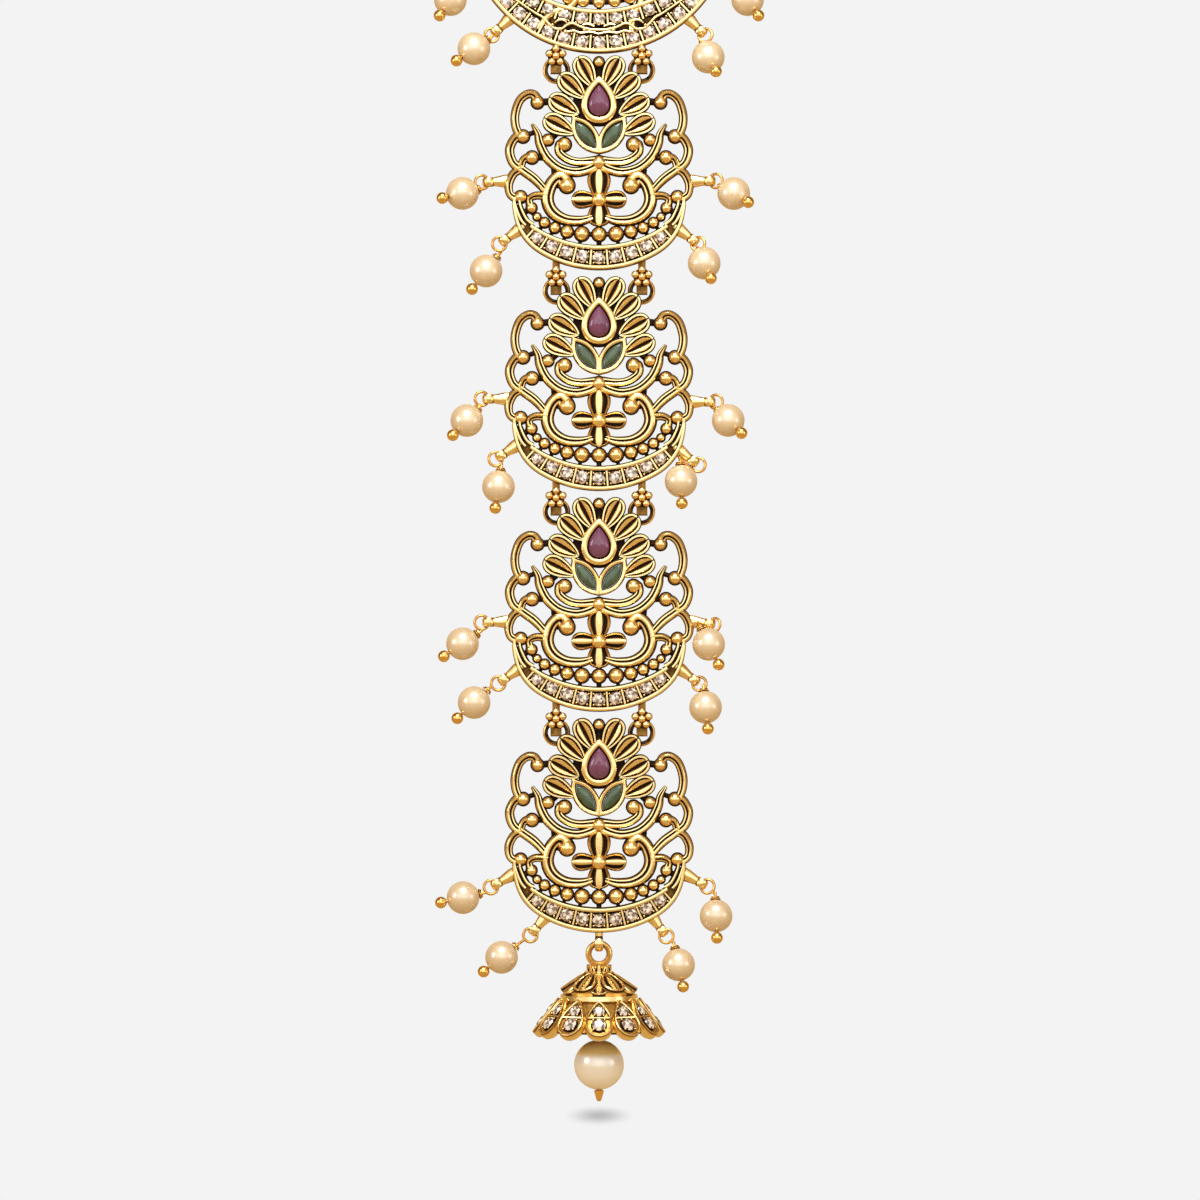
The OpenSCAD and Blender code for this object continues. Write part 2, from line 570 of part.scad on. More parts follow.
module bell_stones() color(CLEAR) at_bell() for (i = [0:bell_petals - 1]) on_skirt(i)
    for (s = skirt_seats)
        translate([0, s[0], 0.35 + stone_gap]) round_stone(s[1]);
module bell_pin() color(STEEL) at_bell() {
    loop_z = inner_eye_z - inner_eye_r - inner_eye_r + 2 * inner_wire + inner_loop_gap / 2;
    translate([0, 0, loop_z]) rotate([90, 0, 0]) torus(inner_eye_r, wire_r);
    rod([0, 0, loop_z - inner_eye_r], [0, 0, big_pearl_z - big_pearl_r - 1.2], wire_r);
    translate([0, 0, big_pearl_z - big_pearl_r - 0.6]) cylinder(h = 0.5, r = 1.2, $fn = 32);
    ball([0, 0, big_pearl_z - big_pearl_r - 1.5], 1);
}
module bell_pearl() color(PEARL) at_bell() translate([0, 0, big_pearl_z]) difference() {
    sphere(big_pearl_r, $fn = 64);
    translate([0, 0, -big_pearl_r - 1]) cylinder(h = 2 * big_pearl_r + 2, r = pearl_bore, $fn = 32);
}

// Plain hair pin: a bridge through the origin and two prongs that run back through the rings
module hair_pin() color(STEEL) {
    bridge = prong_x - bend_r;
    rod([-bridge, 0, 0], [bridge, 0, 0], prong_r);
    both_sides() {
        translate([bridge, bend_r, 0]) rotate([0, 0, -90]) rotate_extrude(angle = 90, $fn = 48)
            translate([bend_r, 0]) circle(prong_r, $fn = 32);
        rod([prong_x, bend_r, 0], [prong_x, prong_len, 0], prong_r);
        ball([prong_x, prong_len, 0], prong_r);
    }
}

hair_pin();
head_panel();
head_outer_stones();
head_inner_stones();
for (k = [1:4]) {
    panel_body(k);
    ruby(k);
    mirror([1, 0, 0]) emerald(k);
    emerald(k);
    panel_stones(k);
}
for (k = [0:4]) {
    pins(k);
    for (d = DROPS[k]) pearl(k, d);
}
bell();
bell_stones();
bell_pin();
bell_pearl();
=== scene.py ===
"""Looks of a long braid ornament in antique gold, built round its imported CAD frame.

Sizes are millimetres in a panel's own directions: u to the right, v up and w towards the viewer.
A piece becomes metres in the shared frame when it is stood up at its place.
"""

import logging
import math
import random
from dataclasses import dataclass
from enum import Enum
from typing import NamedTuple

import bpy
import numpy as np
from mathutils import Matrix, Vector


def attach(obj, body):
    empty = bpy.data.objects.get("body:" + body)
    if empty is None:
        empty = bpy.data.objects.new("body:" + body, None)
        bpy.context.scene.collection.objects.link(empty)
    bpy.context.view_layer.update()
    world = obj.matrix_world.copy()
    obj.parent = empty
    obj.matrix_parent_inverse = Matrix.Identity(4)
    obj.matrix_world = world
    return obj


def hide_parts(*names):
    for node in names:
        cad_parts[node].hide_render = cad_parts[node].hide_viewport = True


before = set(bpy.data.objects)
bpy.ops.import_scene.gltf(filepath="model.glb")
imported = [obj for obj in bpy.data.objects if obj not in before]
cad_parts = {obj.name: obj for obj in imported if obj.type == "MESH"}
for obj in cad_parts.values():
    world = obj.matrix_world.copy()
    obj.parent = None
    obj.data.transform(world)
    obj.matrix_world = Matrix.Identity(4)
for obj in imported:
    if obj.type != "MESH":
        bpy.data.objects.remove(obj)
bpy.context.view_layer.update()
LOG = logging.getLogger("ornament")

# Heights in a panel's own w direction: back, plate, relief, rims, and the middle of rings and pegs
BACK_W = -2.2
PLATE_W = -0.8
RELIEF_W = 0.0
RIM_W = 0.35
MID_W = -1.5
# Height of a stone's foot over the plate, and of a bead's middle over it
STONE_LIFT = 0.12
BEAD_LIFT = 0.2
# Back and front of the plates between the rims, and half-width of the bars between stones
FLOOR = (BACK_W + 0.3, PLATE_W + 0.05)
BAR_HALF = 0.2
# Depth of patina and painted shade on plain backs, and on the corners of a disc behind beads or petals, dark
# round them
BACK_DEPTH = 0.45
DISC_DEPTHS = [BACK_DEPTH, BACK_DEPTH, 1, 1, 1]
# Edges sharper than this many degrees stay sharp, on cast metal and on smooth stones
SHARP = 38
STONE_SHARP = 60
# Points of a long arc, and degrees by which each brilliant of a row is turned further
ARC_POINTS = 81
STONE_TURN = 67
# Height that the lights look at, in metres
LIGHT_AIM_Z = -0.165

# Heights of the places: the head panel and the flowers of the four panels
PIN_TO_HEAD = 28.6
HEAD_TO_FIRST = 56.14
PITCH = 44.2
PLACES = ("head", "panel_1", "panel_2", "panel_3", "panel_4")


def place_z(k: int) -> float:
    """Height of the origin of place k in millimetres, 0 for the head panel."""
    return -PIN_TO_HEAD if k == 0 else -PIN_TO_HEAD - HEAD_TO_FIRST - (k - 1) * PITCH


def upright(k: int) -> Matrix:
    """Matrix that stands place k's (u, v, w) millimetres up in the shared frame."""
    turn = Matrix(((1, 0, 0, 0), (0, 0, -1, 0), (0, 1, 0, place_z(k)), (0, 0, 0, 1)))
    return Matrix.Scale(0.001, 4) @ turn


def on(angle: float, r: float) -> np.ndarray:
    """Point at an angle in degrees and a radius from the origin."""
    return np.array([math.cos(math.radians(angle)), math.sin(math.radians(angle))]) * r


def unit(v: np.ndarray) -> np.ndarray:
    """The vector scaled to length one."""
    return v / np.linalg.norm(v)


def smooth_path(points: np.ndarray, steps: int = 7) -> np.ndarray:
    """Catmull-Rom curve through points.

    Args:
        points: One row per point, any number of columns.
        steps: Pieces between neighbouring points.

    Returns:
        The finer rows.
    """
    p = np.asarray(points, float)
    last = len(p) - 1
    rows = []
    for i in range(last):
        a, b, c, d = p[max(i - 1, 0)], p[i], p[i + 1], p[min(i + 2, last)]
        for t in np.arange(steps) / steps:
            cubic = (3 * b - a - 3 * c + d) * t ** 3
            rows.append(0.5 * (2 * b + (c - a) * t + (2 * a - 5 * b + 4 * c - d) * t * t + cubic))
    rows.append(p[last])
    return np.array(rows)


def full_turn(count: int) -> list[float]:
    """Evenly spaced angles of a full turn, in radians."""
    return [2 * math.pi * i / count for i in range(count)]


def mirrored(paths: list[np.ndarray]) -> list[np.ndarray]:
    """Paths of u, v and half-width, each followed by its mirror image in u."""
    return [path for rows in paths for path in (rows, rows * [-1, 1, 1])]


def section(half: list, middle: list, back: tuple) -> list:
    """Symmetric section: left half from the back up, middle, right half, and the back's middle."""
    return [*half, *middle, *((-p[0], *p[1:]) for p in half[::-1]), back]


def spot(u: float, v: float, w: float, turn: float = 0.0, size: float = 1.0) -> tuple:
    """Spot of one copy: place, turn in degrees about u, v, w, and size along u, v, w."""
    return (u, v, w), (0, 0, turn), (size,) * 3


def row_angles(count: int, step: float) -> list[float]:
    """Angles in degrees of a row that is centred straight down, from left to right."""
    return [(i - (count - 1) / 2) * step for i in range(count)]


def row_spots(circle: tuple, angles: list[float], w: float, turns: list[float], size: float = 1.0) -> list:
    """Spots of a row on a circle.

    Args:
        circle: Centre u, v and radius.
        angles: Angle of each copy from straight down.
        w: Height of the copies.
        turns: Turn of each copy about w, in degrees.
        size: Size of the copies.

    Returns:
        The spots.
    """
    places = [np.array(circle[:2]) + on(-90 + a, circle[2]) for a in angles]
    return [spot(*place, w, turn, size) for place, turn in zip(places, turns)]


def row_bars(circle: tuple, angles: list[float], reach: tuple, half: float) -> list[np.ndarray]:
    """Short bars across a circle.

    Args:
        circle: Centre u, v and radius.
        angles: Angle of each bar from straight down.
        reach: Distances from the circle to the bar's points, outwards.
        half: Half-width of the bars.

    Returns:
        Their paths.
    """
    c, r = np.array(circle[:2]), circle[2]
    return [np.array([[*(c + on(-90 + a, r + s)), half] for s in reach]) for a in angles]


def drop_outline(centre: tuple, r: float, tip: float, gain: float, count: int) -> np.ndarray:
    """Outline of a drop, anticlockwise, its point up.

    Args:
        centre: Middle of its round end, u and v.
        r: Radius of the round end.
        tip: Height of the point over the centre.
        gain: Factor of its width.
        count: Number of corners.

    Returns:
        The corners.
    """
    rows = []
    for t in full_turn(count):
        u = -r * gain * math.sin(t) * math.sin(t / 2) ** 0.85
        rows.append([centre[0] + u, centre[1] + (tip - r) / 2 + (tip + r) / 2 * math.cos(t)])
    return np.array(rows)


class Shape:
    """A growing mesh: points, faces, and how deep each point lies in the patina and painted shade."""

    def __init__(self) -> None:
        """Starts empty."""
        self.points: list[np.ndarray] = []
        self.recess: list[np.ndarray] = []
        self.faces: list[tuple[int, ...]] = []
        self.facet_reflections: list[float] = []
        self.count = 0

    def add(self, points: np.ndarray, faces: list, recess: np.ndarray | float,
            facet_reflections: list | None = None) -> None:
        """Adds one closed solid and turns its faces outwards.

        Args:
            points: One row of u, v, w per point.
            faces: Tuples of point numbers.
            recess: Depth of patina and painted shade at each point, 0 on a crest and 1 in a groove.
            facet_reflections: Painted reflection of each face, from dark to white, for stones.
        """
        points = np.asarray(points, float)
        volume = 0.0
        for f in faces:
            a = points[f[0]]
            for i in range(1, len(f) - 1):
                volume += float(np.dot(a, np.cross(points[f[i]], points[f[i + 1]])))
        step = 1 if volume >= 0 else -1
        self.faces += [tuple(i + self.count for i in f[::step]) for f in faces]
        self.facet_reflections += list(facet_reflections) if facet_reflections else [0.5] * len(faces)
        self.points.append(points)
        self.recess.append(np.broadcast_to(np.asarray(recess, float), (len(points),)))
        self.count += len(points)

    def join(self, other: "Shape", matrix: np.ndarray | None = None) -> None:
        """Adds a copy of another shape.

        Args:
            other: The shape.
            matrix: 4 by 4 matrix that places it, with no mirror in it.
        """
        points = np.concatenate(other.points)
        if matrix is not None:
            points = points @ np.asarray(matrix)[:3, :3].T + np.asarray(matrix)[:3, 3]
        self.faces += [tuple(i + self.count for i in f) for f in other.faces]
        self.facet_reflections += other.facet_reflections
        self.points.append(points)
        self.recess.append(np.concatenate(other.recess))
        self.count += len(points)

    def mesh(self, name: str, finish: bpy.types.Material, matrix: Matrix,
             angle: float = SHARP) -> bpy.types.Mesh:
        """Makes a Blender mesh in the shared frame.

        Args:
            name: Name of the mesh.
            finish: Its material.
            matrix: Placing matrix.
            angle: Edges sharper than this many degrees stay sharp.

        Returns:
            The mesh.
        """
        mesh = bpy.data.meshes.new(name)
        mesh.from_pydata(np.concatenate(self.points).tolist(), [], self.faces)
        mesh.attributes.new("recess", "FLOAT", "POINT").data.foreach_set("value", np.concatenate(self.recess))
        mesh.attributes.new("tone", "FLOAT", "FACE").data.foreach_set("value", self.facet_reflections)
        mesh.transform(matrix)
        mesh.materials.append(finish)
        mesh.polygons.foreach_set("use_smooth", [True] * len(mesh.polygons))
        mesh.set_sharp_from_angle(angle=math.radians(angle))
        return mesh

    @staticmethod
    def read(mesh: bpy.types.Mesh) -> "Shape":
        """Shape with the points, faces and attributes of a mesh."""
        shape = Shape()
        co = np.zeros(len(mesh.vertices) * 3)
        mesh.vertices.foreach_get("co", co)
        depth = np.zeros(len(mesh.vertices))
        mesh.attributes["recess"].data.foreach_get("value", depth)
        facet_reflections = np.full(len(mesh.polygons), 0.5)
        if "tone" in mesh.attributes:
            mesh.attributes["tone"].data.foreach_get("value", facet_reflections)
        shape.points.append(co.reshape(-1, 3))
        shape.recess.append(depth)
        shape.faces = [tuple(p.vertices) for p in mesh.polygons]
        shape.facet_reflections = facet_reflections.tolist()
        shape.count = len(mesh.vertices)
        return shape


def loft(rows: list | np.ndarray, recess: list | float, ring: bool = False) -> Shape:
    """Tube of cross-sections, closed by caps or into a ring.

    Args:
        rows: Array of sections, points round a section, and u, v, w.
        recess: Depth of patina and painted shade at each point of a section.
        ring: Whether the last section joins the first.

    Returns:
        The solid.
    """
    rows = np.asarray(rows, float)
    n, m = rows.shape[:2]
    faces = []
    for i in range(n if ring else n - 1):
        k = (i + 1) % n
        faces += [(i * m + j, i * m + (j + 1) % m, k * m + (j + 1) % m, k * m + j) for j in range(m)]
    if not ring:
        faces += [tuple(range(m - 1, -1, -1)), tuple(range((n - 1) * m, n * m))]
    shape = Shape()
    shape.add(rows.reshape(-1, 3), faces, np.tile(recess, n) if np.ndim(recess) else recess)
    return shape


def ball(r: float, segments: int = 16, rings: int = 8) -> Shape:
    """Cast bead whose foot lies in the patina, darker from its top towards its foot as painted shade.

    Args:
        r: Radius.
        segments: Points round it.
        rings: Steps from pole to pole.

    Returns:
        The bead round the origin.
    """
    # Painted shade: the depth grows as the surface turns away from the top
    points, depth = [[0, 0, r]], [0.0]
    for i in range(1, rings):
        t = math.pi * i / rings
        points += [[r * math.sin(t) * math.cos(a), r * math.sin(t) * math.sin(a), r * math.cos(t)]
                   for a in full_turn(segments)]
        depth += [min(1 - math.cos(t), 1)] * segments
    points.append([0, 0, -r])
    depth.append(1.0)
    last = len(points) - 1
    faces = [(0, 1 + j, 1 + (j + 1) % segments) for j in range(segments)]
    for i in range(rings - 2):
        a, b = 1 + i * segments, 1 + (i + 1) * segments
        faces += [(a + j, b + j, b + (j + 1) % segments, a + (j + 1) % segments) for j in range(segments)]
    a = 1 + (rings - 2) * segments
    faces += [(a + j, last, a + (j + 1) % segments) for j in range(segments)]
    shape = Shape()
    shape.add(np.array(points), faces, np.array(depth))
    return shape


def lathe(profile: list | tuple, steps: int, recess: list) -> Shape:
    """Solid turned round the w axis.

    Args:
        profile: Corners of the closed half section, radius and w.
        steps: Sections round the axis.
        recess: Depth of patina and painted shade at each corner.

    Returns:
        The solid.
    """
    rows = [[[r * math.cos(a), r * math.sin(a), w] for r, w in profile] for a in full_turn(steps)]
    return loft(rows, recess, ring=True)


def tube(path: np.ndarray, r: float, recess: float = 0.2, sides: int = 12, ring: bool = False) -> Shape:
    """Round wire along a path.

    Args:
        path: One row of u, v, w per point.
        r: Radius of the wire.
        recess: Depth of patina and painted shade.
        sides: Points round the wire.
        ring: Whether the wire closes.

    Returns:
        The wire.
    """
    path = np.asarray(path, float)
    n = len(path)
    rows, normal = [], None
    for i in range(n):
        ahead = path[(i + 1) % n] if ring else path[min(i + 1, n - 1)]
        behind = path[i - 1] if ring else path[max(i - 1, 0)]
        t = unit(ahead - behind)
        if normal is None:
            normal = np.cross(t, [0, 0, 1.0] if abs(t[2]) < 0.9 else [1.0, 0, 0])
        normal = unit(normal - np.dot(normal, t) * t)
        side = np.cross(t, normal)
        rows.append([path[i] + r * (math.cos(a) * normal + math.sin(a) * side) for a in full_turn(sides)])
    return loft(rows, recess, ring)


def round_ring(r: float, wire: float, inside: float = 0.5) -> Shape:
    """Closed ring round the w axis, dark on its inner side with patina and painted shade.

    Args:
        r: Radius to the wire's middle.
        wire: Radius of the wire.
        inside: Depth of patina and painted shade on the inner side.

    Returns:
        The ring.
    """
    turns = full_turn(14)
    profile = [(r + wire * math.cos(a), wire * math.sin(a)) for a in turns]
    # Only the outer side stays bright; the rest carries patina and painted shade
    return lathe(profile, 40, [0.12 if math.cos(a) > 0.35 else inside for a in turns])


def matrix_at(at: tuple | list, turn: float = 0.0) -> np.ndarray:
    """Matrix that turns about w, in degrees, and moves."""
    return np.array(Matrix.Translation(Vector(at)) @ Matrix.Rotation(math.radians(turn), 4, "Z"))


def quarter_turn(at: tuple, axis: str = "X") -> np.ndarray:
    """Matrix that turns by a right angle about an axis and moves."""
    return np.array(Matrix.Translation(at) @ Matrix.Rotation(math.pi / 2, 4, axis))


def along(at: np.ndarray, direction: np.ndarray) -> np.ndarray:
    """Matrix that stands a shape's w axis along a direction at a point."""
    turn = Vector(direction).to_track_quat("Z", "Y").to_matrix().to_4x4()
    return np.array(Matrix.Translation(Vector(at)) @ turn)


class Nodes:
    """Adds nodes to one tree."""

    def __init__(self, tree: bpy.types.NodeTree) -> None:
        """Takes the tree."""
        self.tree = tree

    def feed(self, node: bpy.types.Node, inputs: dict) -> None:
        """Links each input to an output socket or sets its value."""
        for key, value in inputs.items():
            if isinstance(value, bpy.types.NodeSocket):
                self.tree.links.new(value, node.inputs[key])
            else:
                node.inputs[key].default_value = value

    def add(self, kind: str, inputs: dict | None = None, **values: object) -> bpy.types.bpy_prop_collection:
        """Adds a node.

        Args:
            kind: Type name of the node.
            inputs: Output socket or value of each input.
            values: Properties of the node.

        Returns:
            The node's outputs.
        """
        node = self.tree.nodes.new(kind)
        for key, value in values.items():
            setattr(node, key, value)
        self.feed(node, inputs or {})
        return node.outputs

    def maths(self, operation: str, *numbers: object, **values: object) -> bpy.types.NodeSocket:
        """Result of an operation on sockets or values."""
        return self.add("ShaderNodeMath", dict(enumerate(numbers)), operation=operation, **values)[0]

    def mix(self, factor: bpy.types.NodeSocket, low: object, high: object) -> bpy.types.NodeSocket:
        """Colour between two colours."""
        return self.add("ShaderNodeMix", {"Factor": factor, 6: low, 7: high}, data_type="RGBA")[2]

    def span(self, value: bpy.types.NodeSocket, low: float, high: float) -> bpy.types.NodeSocket:
        """Value mapped from low and high to 0 and 1."""
        return self.add("ShaderNodeMapRange", {"Value": value, "From Min": low, "From Max": high})[0]

    def noise(self, place: bpy.types.NodeSocket, scale: float, detail: float) -> bpy.types.NodeSocket:
        """Noise at a place."""
        return self.add("ShaderNodeTexNoise", {"Vector": place, "Scale": scale, "Detail": detail})["Fac"]

    def place(self) -> bpy.types.NodeSocket:
        """Place in the object's own frame."""
        return self.add("ShaderNodeTexCoord")["Object"]


class Kit:
    """Geometry Nodes trees that the sub-assemblies share, and the objects that feed them."""

    def __init__(self) -> None:
        """Builds both trees."""
        self.scatter_tree = self._scatter()
        self.sweep_tree = self._sweep()

    @staticmethod
    def _tree(name: str, first: str) -> tuple[Nodes, dict[str, str]]:
        """Starts a tree with inputs for geometry, an object and a finish, and a geometry output.

        Args:
            name: Name of the tree.
            first: Name of the object input.

        Returns:
            The tree's nodes, and the identifier of each named input.
        """
        tree = bpy.data.node_groups.new(name, "GeometryNodeTree")
        tree.interface.new_socket("Geometry", in_out="INPUT", socket_type="NodeSocketGeometry")
        names = {n: tree.interface.new_socket(n, in_out="INPUT", socket_type=f"NodeSocket{t}").identifier
                 for n, t in ((first, "Object"), ("Finish", "Material"))}
        tree.interface.new_socket("Geometry", in_out="OUTPUT", socket_type="NodeSocketGeometry")
        return Nodes(tree), names

    def _scatter(self) -> tuple[bpy.types.NodeTree, dict[str, str]]:
        """Tree that sets a piece on every point, turned and sized by the point's attributes."""
        nodes, names = self._tree("scatter", "Piece")
        start = nodes.add("NodeGroupInput")
        piece = nodes.add("GeometryNodeObjectInfo", {"Object": start["Piece"]})
        turn, size = (nodes.add("GeometryNodeInputNamedAttribute", {"Name": name}, data_type="FLOAT_VECTOR")
                      for name in ("turn", "size"))
        placed = nodes.add("GeometryNodeInstanceOnPoints", {
            "Points": start["Geometry"], "Instance": piece["Geometry"], "Rotation": turn["Attribute"],
            "Scale": size["Attribute"]})
        self._finish(nodes, start, placed["Instances"])
        return nodes.tree, names

    def _sweep(self) -> tuple[bpy.types.NodeTree, dict[str, str]]:
        """Tree that runs a profile along flat curves. The profile's v is kept as a height over the plate."""
        nodes, names = self._tree("sweep", "Profile")
        start = nodes.add("NodeGroupInput")
        profile = nodes.add("GeometryNodeObjectInfo", {"Object": start["Profile"]})
        split = nodes.add("ShaderNodeSeparateXYZ", {"Vector": nodes.add("GeometryNodeInputPosition")[0]})
        radius = nodes.add("GeometryNodeInputRadius")[0]
        height = nodes.add("GeometryNodeStoreNamedAttribute", {
            "Geometry": profile["Geometry"], "Name": "height", "Value": split["Y"]})
        depth = nodes.add("GeometryNodeStoreNamedAttribute", {
            "Geometry": height[0], "Name": "recess", "Value": radius})
        across = nodes.add("ShaderNodeCombineXYZ", {"X": split["X"]})
        flat = nodes.add("GeometryNodeSetPosition", {"Geometry": depth[0], "Position": across[0]})
        ruled = nodes.add("GeometryNodeSetCurveNormal", {"Curve": start["Geometry"]}, mode="Z_UP")
        swept = nodes.add("GeometryNodeCurveToMesh", {
            "Curve": ruled[0], "Profile Curve": flat[0], "Scale": radius, "Fill Caps": True})
        level = nodes.add("GeometryNodeInputNamedAttribute", {"Name": "height"})
        raised = nodes.add("ShaderNodeCombineXYZ", {
            "X": split["X"], "Y": split["Y"], "Z": level["Attribute"]})
        lifted = nodes.add("GeometryNodeSetPosition", {"Geometry": swept[0], "Position": raised[0]})
        self._finish(nodes, start, lifted[0])
        return nodes.tree, names

    @staticmethod
    def _finish(nodes: Nodes, start: bpy.types.bpy_prop_collection, geometry: bpy.types.NodeSocket) -> None:
        """Ends a tree with real geometry in its finish."""
        real = nodes.add("GeometryNodeRealizeInstances", {"Geometry": geometry})
        dressed = nodes.add("GeometryNodeSetMaterial", {"Geometry": real[0], "Material": start["Finish"]})
        nodes.add("NodeGroupOutput", {"Geometry": dressed[0]})

    @staticmethod
    def _result(base: bpy.types.Object, tree: tuple, values: dict[str, object]) -> Shape:
        """Runs a tree on a base object and reads the result.

        Args:
            base: Object that carries the tree, removed afterwards.
            tree: The tree and its identifiers.
            values: Value of each named input.

        Returns:
            The realized shape.
        """
        bpy.context.scene.collection.objects.link(base)
        modifier = base.modifiers.new("tree", "NODES")
        modifier.node_group = tree[0]
        for name, value in values.items():
            modifier[tree[1][name]] = value
        graph = bpy.context.evaluated_depsgraph_get()
        mesh = bpy.data.meshes.new_from_object(base.evaluated_get(graph))
        shape = Shape.read(mesh)
        bpy.data.meshes.remove(mesh)
        base.modifiers.remove(modifier)
        bpy.data.objects.remove(base)
        return shape

    def scatter(self, piece: Shape, spots: list, finish: bpy.types.Material) -> Shape:
        """Sets a piece on spots.

        Args:
            piece: The piece, round the origin.
            spots: Place, turn in degrees about u, v, w, and size along u, v, w of each copy.
            finish: Material of the copies.

        Returns:
            All copies in one shape.
        """
        seed = bpy.data.objects.new("seed", piece.mesh("seed", finish, Matrix.Identity(4)))
        bpy.context.scene.collection.objects.link(seed)
        mesh = bpy.data.meshes.new("spots")
        mesh.from_pydata([tuple(s[0]) for s in spots], [], [])
        turns = [math.radians(a) for s in spots for a in s[1]]
        mesh.attributes.new("turn", "FLOAT_VECTOR", "POINT").data.foreach_set("vector", turns)
        sizes = [x for s in spots for x in s[2]]
        mesh.attributes.new("size", "FLOAT_VECTOR", "POINT").data.foreach_set("vector", sizes)
        base = bpy.data.objects.new("spots", mesh)
        shape = self._result(base, self.scatter_tree, {"Piece": seed, "Finish": finish})
        bpy.data.objects.remove(seed)
        return shape

    def sweep(self, paths: list[np.ndarray], profile: "Ridge", finish: bpy.types.Material) -> Shape:
        """Runs a ridge along flat paths.

        Args:
            paths: Rows of u, v and half-width. The groove lies on the right of the way along.
            profile: The ridge's section.
            finish: Material of the ridge.

        Returns:
            All ridges in one shape.
        """
        outline = self._curve("section", [np.array(profile.value)], True)
        bpy.context.scene.collection.objects.link(outline)
        shape = self._result(self._curve("paths", paths, False), self.sweep_tree,
                             {"Profile": outline, "Finish": finish})
        bpy.data.objects.remove(outline)
        return shape

    @staticmethod
    def _curve(name: str, paths: list[np.ndarray], closed: bool) -> bpy.types.Object:
        """Curve object of flat polylines whose third column is the radius."""
        curve = bpy.data.curves.new(name, "CURVE")
        curve.dimensions = "3D"
        for rows in paths:
            spline = curve.splines.new("POLY")
            spline.points.add(len(rows) - 1)
            for point, (u, v, r) in zip(spline.points, rows):
                point.co = (u, v, 0, 1)
                point.radius = r
            spline.use_cyclic_u = closed
        return bpy.data.objects.new(name, curve)


class Ridge(Enum):
    """Sections of the cast strokes: across in half-widths, height, and depth of patina and painted shade,
    dark down the flanks.
    """

    SCROLL = [(-1.22, BACK_W, BACK_DEPTH), (-1.22, -1.2, 1), (-1.02, -0.8, 1), (-0.92, -0.45, 0.5),
              (-0.72, -0.14, 0.05), (-0.42, 0.0, 0), (-0.04, -0.08, 0.0), (0.1, -0.3, 0.5),
              (0.14, -0.62, 1), (0.38, -0.66, 1), (0.42, -0.38, 0.5), (0.54, -0.2, 0.0),
              (0.78, -0.22, 0.05), (0.92, -0.45, 0.5), (1.02, -0.8, 1), (1.22, -1.2, 1),
              (1.22, BACK_W, BACK_DEPTH), (0, BACK_W - 0.16, BACK_DEPTH)]
    ROUND = section([(-1.12, BACK_W, BACK_DEPTH), (-1.12, -1.2, 1), (-0.98, -0.75, 0.9), (-0.85, -0.35, 0.35),
                     (-0.6, -0.05, 0.05), (-0.25, 0.1, 0)], [], (0, BACK_W - 0.14, BACK_DEPTH))
    RIM = section([(-1.3, BACK_W, BACK_DEPTH), (-1.3, -0.9, 1), (-1.06, -0.3, 1), (-0.95, 0.12, 0.4),
                   (-0.7, 0.32, 0)], [(0.0, 0.38, 0)], (0, BACK_W - 0.12, BACK_DEPTH))
    BAR = section([(-1.3, BACK_W + 0.1, BACK_DEPTH), (-1.3, -0.9, 1), (-1.0, -0.2, 0.9),
                   (-0.8, 0.2, 0.1)], [], (0, BACK_W, BACK_DEPTH))
    LOW = section([(-1.0, BACK_W + 0.12, BACK_DEPTH), (-1.0, -1.3, 1), (-0.7, -0.95, 0.95)], [(0, -0.8, 0.8)],
                  (0, BACK_W - 0.04, BACK_DEPTH))


# Sections of the petals: share of the half-width, inset, height and depth of patina and painted shade. BLADE
# has a raised middle between two grooves, LEAF a rim and a swelling middle.
BLADE = section(
    [(-1, -0.05, BACK_W + 0.1, BACK_DEPTH), (-1, -0.05, -1.1, 1), (-1, 0.08, -0.35, 0.5),
     (-1, 0.24, -0.1, 0.0), (-1, 0.38, -0.25, 0.5), (-0.64, 0, -0.7, 1), (-0.42, 0, -0.7, 1),
     (-0.28, 0, -0.1, 0.2)],
    [(0, 0, 0.0, 0)], (0, 0, BACK_W - 0.1, BACK_DEPTH))
LEAF = section(
    [(-1, -0.15, BACK_W + 0.1, BACK_DEPTH), (-1, -0.15, -1.1, 1), (-1, 0.0, -0.4, 0.9), (-1, 0.1, 0.0, 0.0),
     (-1, 0.42, 0.0, 0.0), (-1, 0.47, -0.2, 0.6), (-1, 0.52, -0.6, 1.0), (-0.86, 0, -0.6, 1.0),
     (-0.8, 0, -0.15, 0.4), (-0.66, 0, 0.02, 0.0), (-0.4, 0, 0.0, 0.0), (-0.26, 0, -0.15, 0.4),
     (-0.19, 0, -0.5, 1.0)],
    [], (0, 0, BACK_W - 0.08, BACK_DEPTH))


@dataclass(frozen=True)
class Gold:
    """Cast antique gold: pale crests, warm slopes painted as shade, and a dark patina in the grooves that
    also paints shade on the flanks.
    """

    name: str = "antique_gold"
    # The slope colour is painted shade on the slopes; the darkest colour is patina in the grooves and painted
    # shade on the flanks
    crest: tuple = (1.0, 0.82, 0.41)
    slope: tuple = (0.82, 0.44, 0.10)
    patina: tuple = (0.012, 0.004, 0.0015)
    polish: float = 0.2
    wear: float = 0.25


@dataclass(frozen=True)
class Pearl:
    """Pearl coating: cream in the light, golden beige towards its edges."""

    name: str = "pearl"
    base: tuple = (0.67, 0.53, 0.34)
    polish: float = 0.4
    # Colour above crown_z: a painted reflection of the bell, on the large pearl only
    crown: tuple = (0.67, 0.53, 0.34)
    crown_z: float = 0.0


@dataclass(frozen=True)
class Stone:
    """Set stone in two colours with a glossy face: painted facet reflections on a cut stone, its streaks on a
    cloudy one.
    """

    name: str
    light: tuple
    dark: tuple
    polish: float
    streak: float = 0.0


def linear(colour: tuple) -> tuple:
    """Colour with full alpha."""
    return (*colour, 1.0)


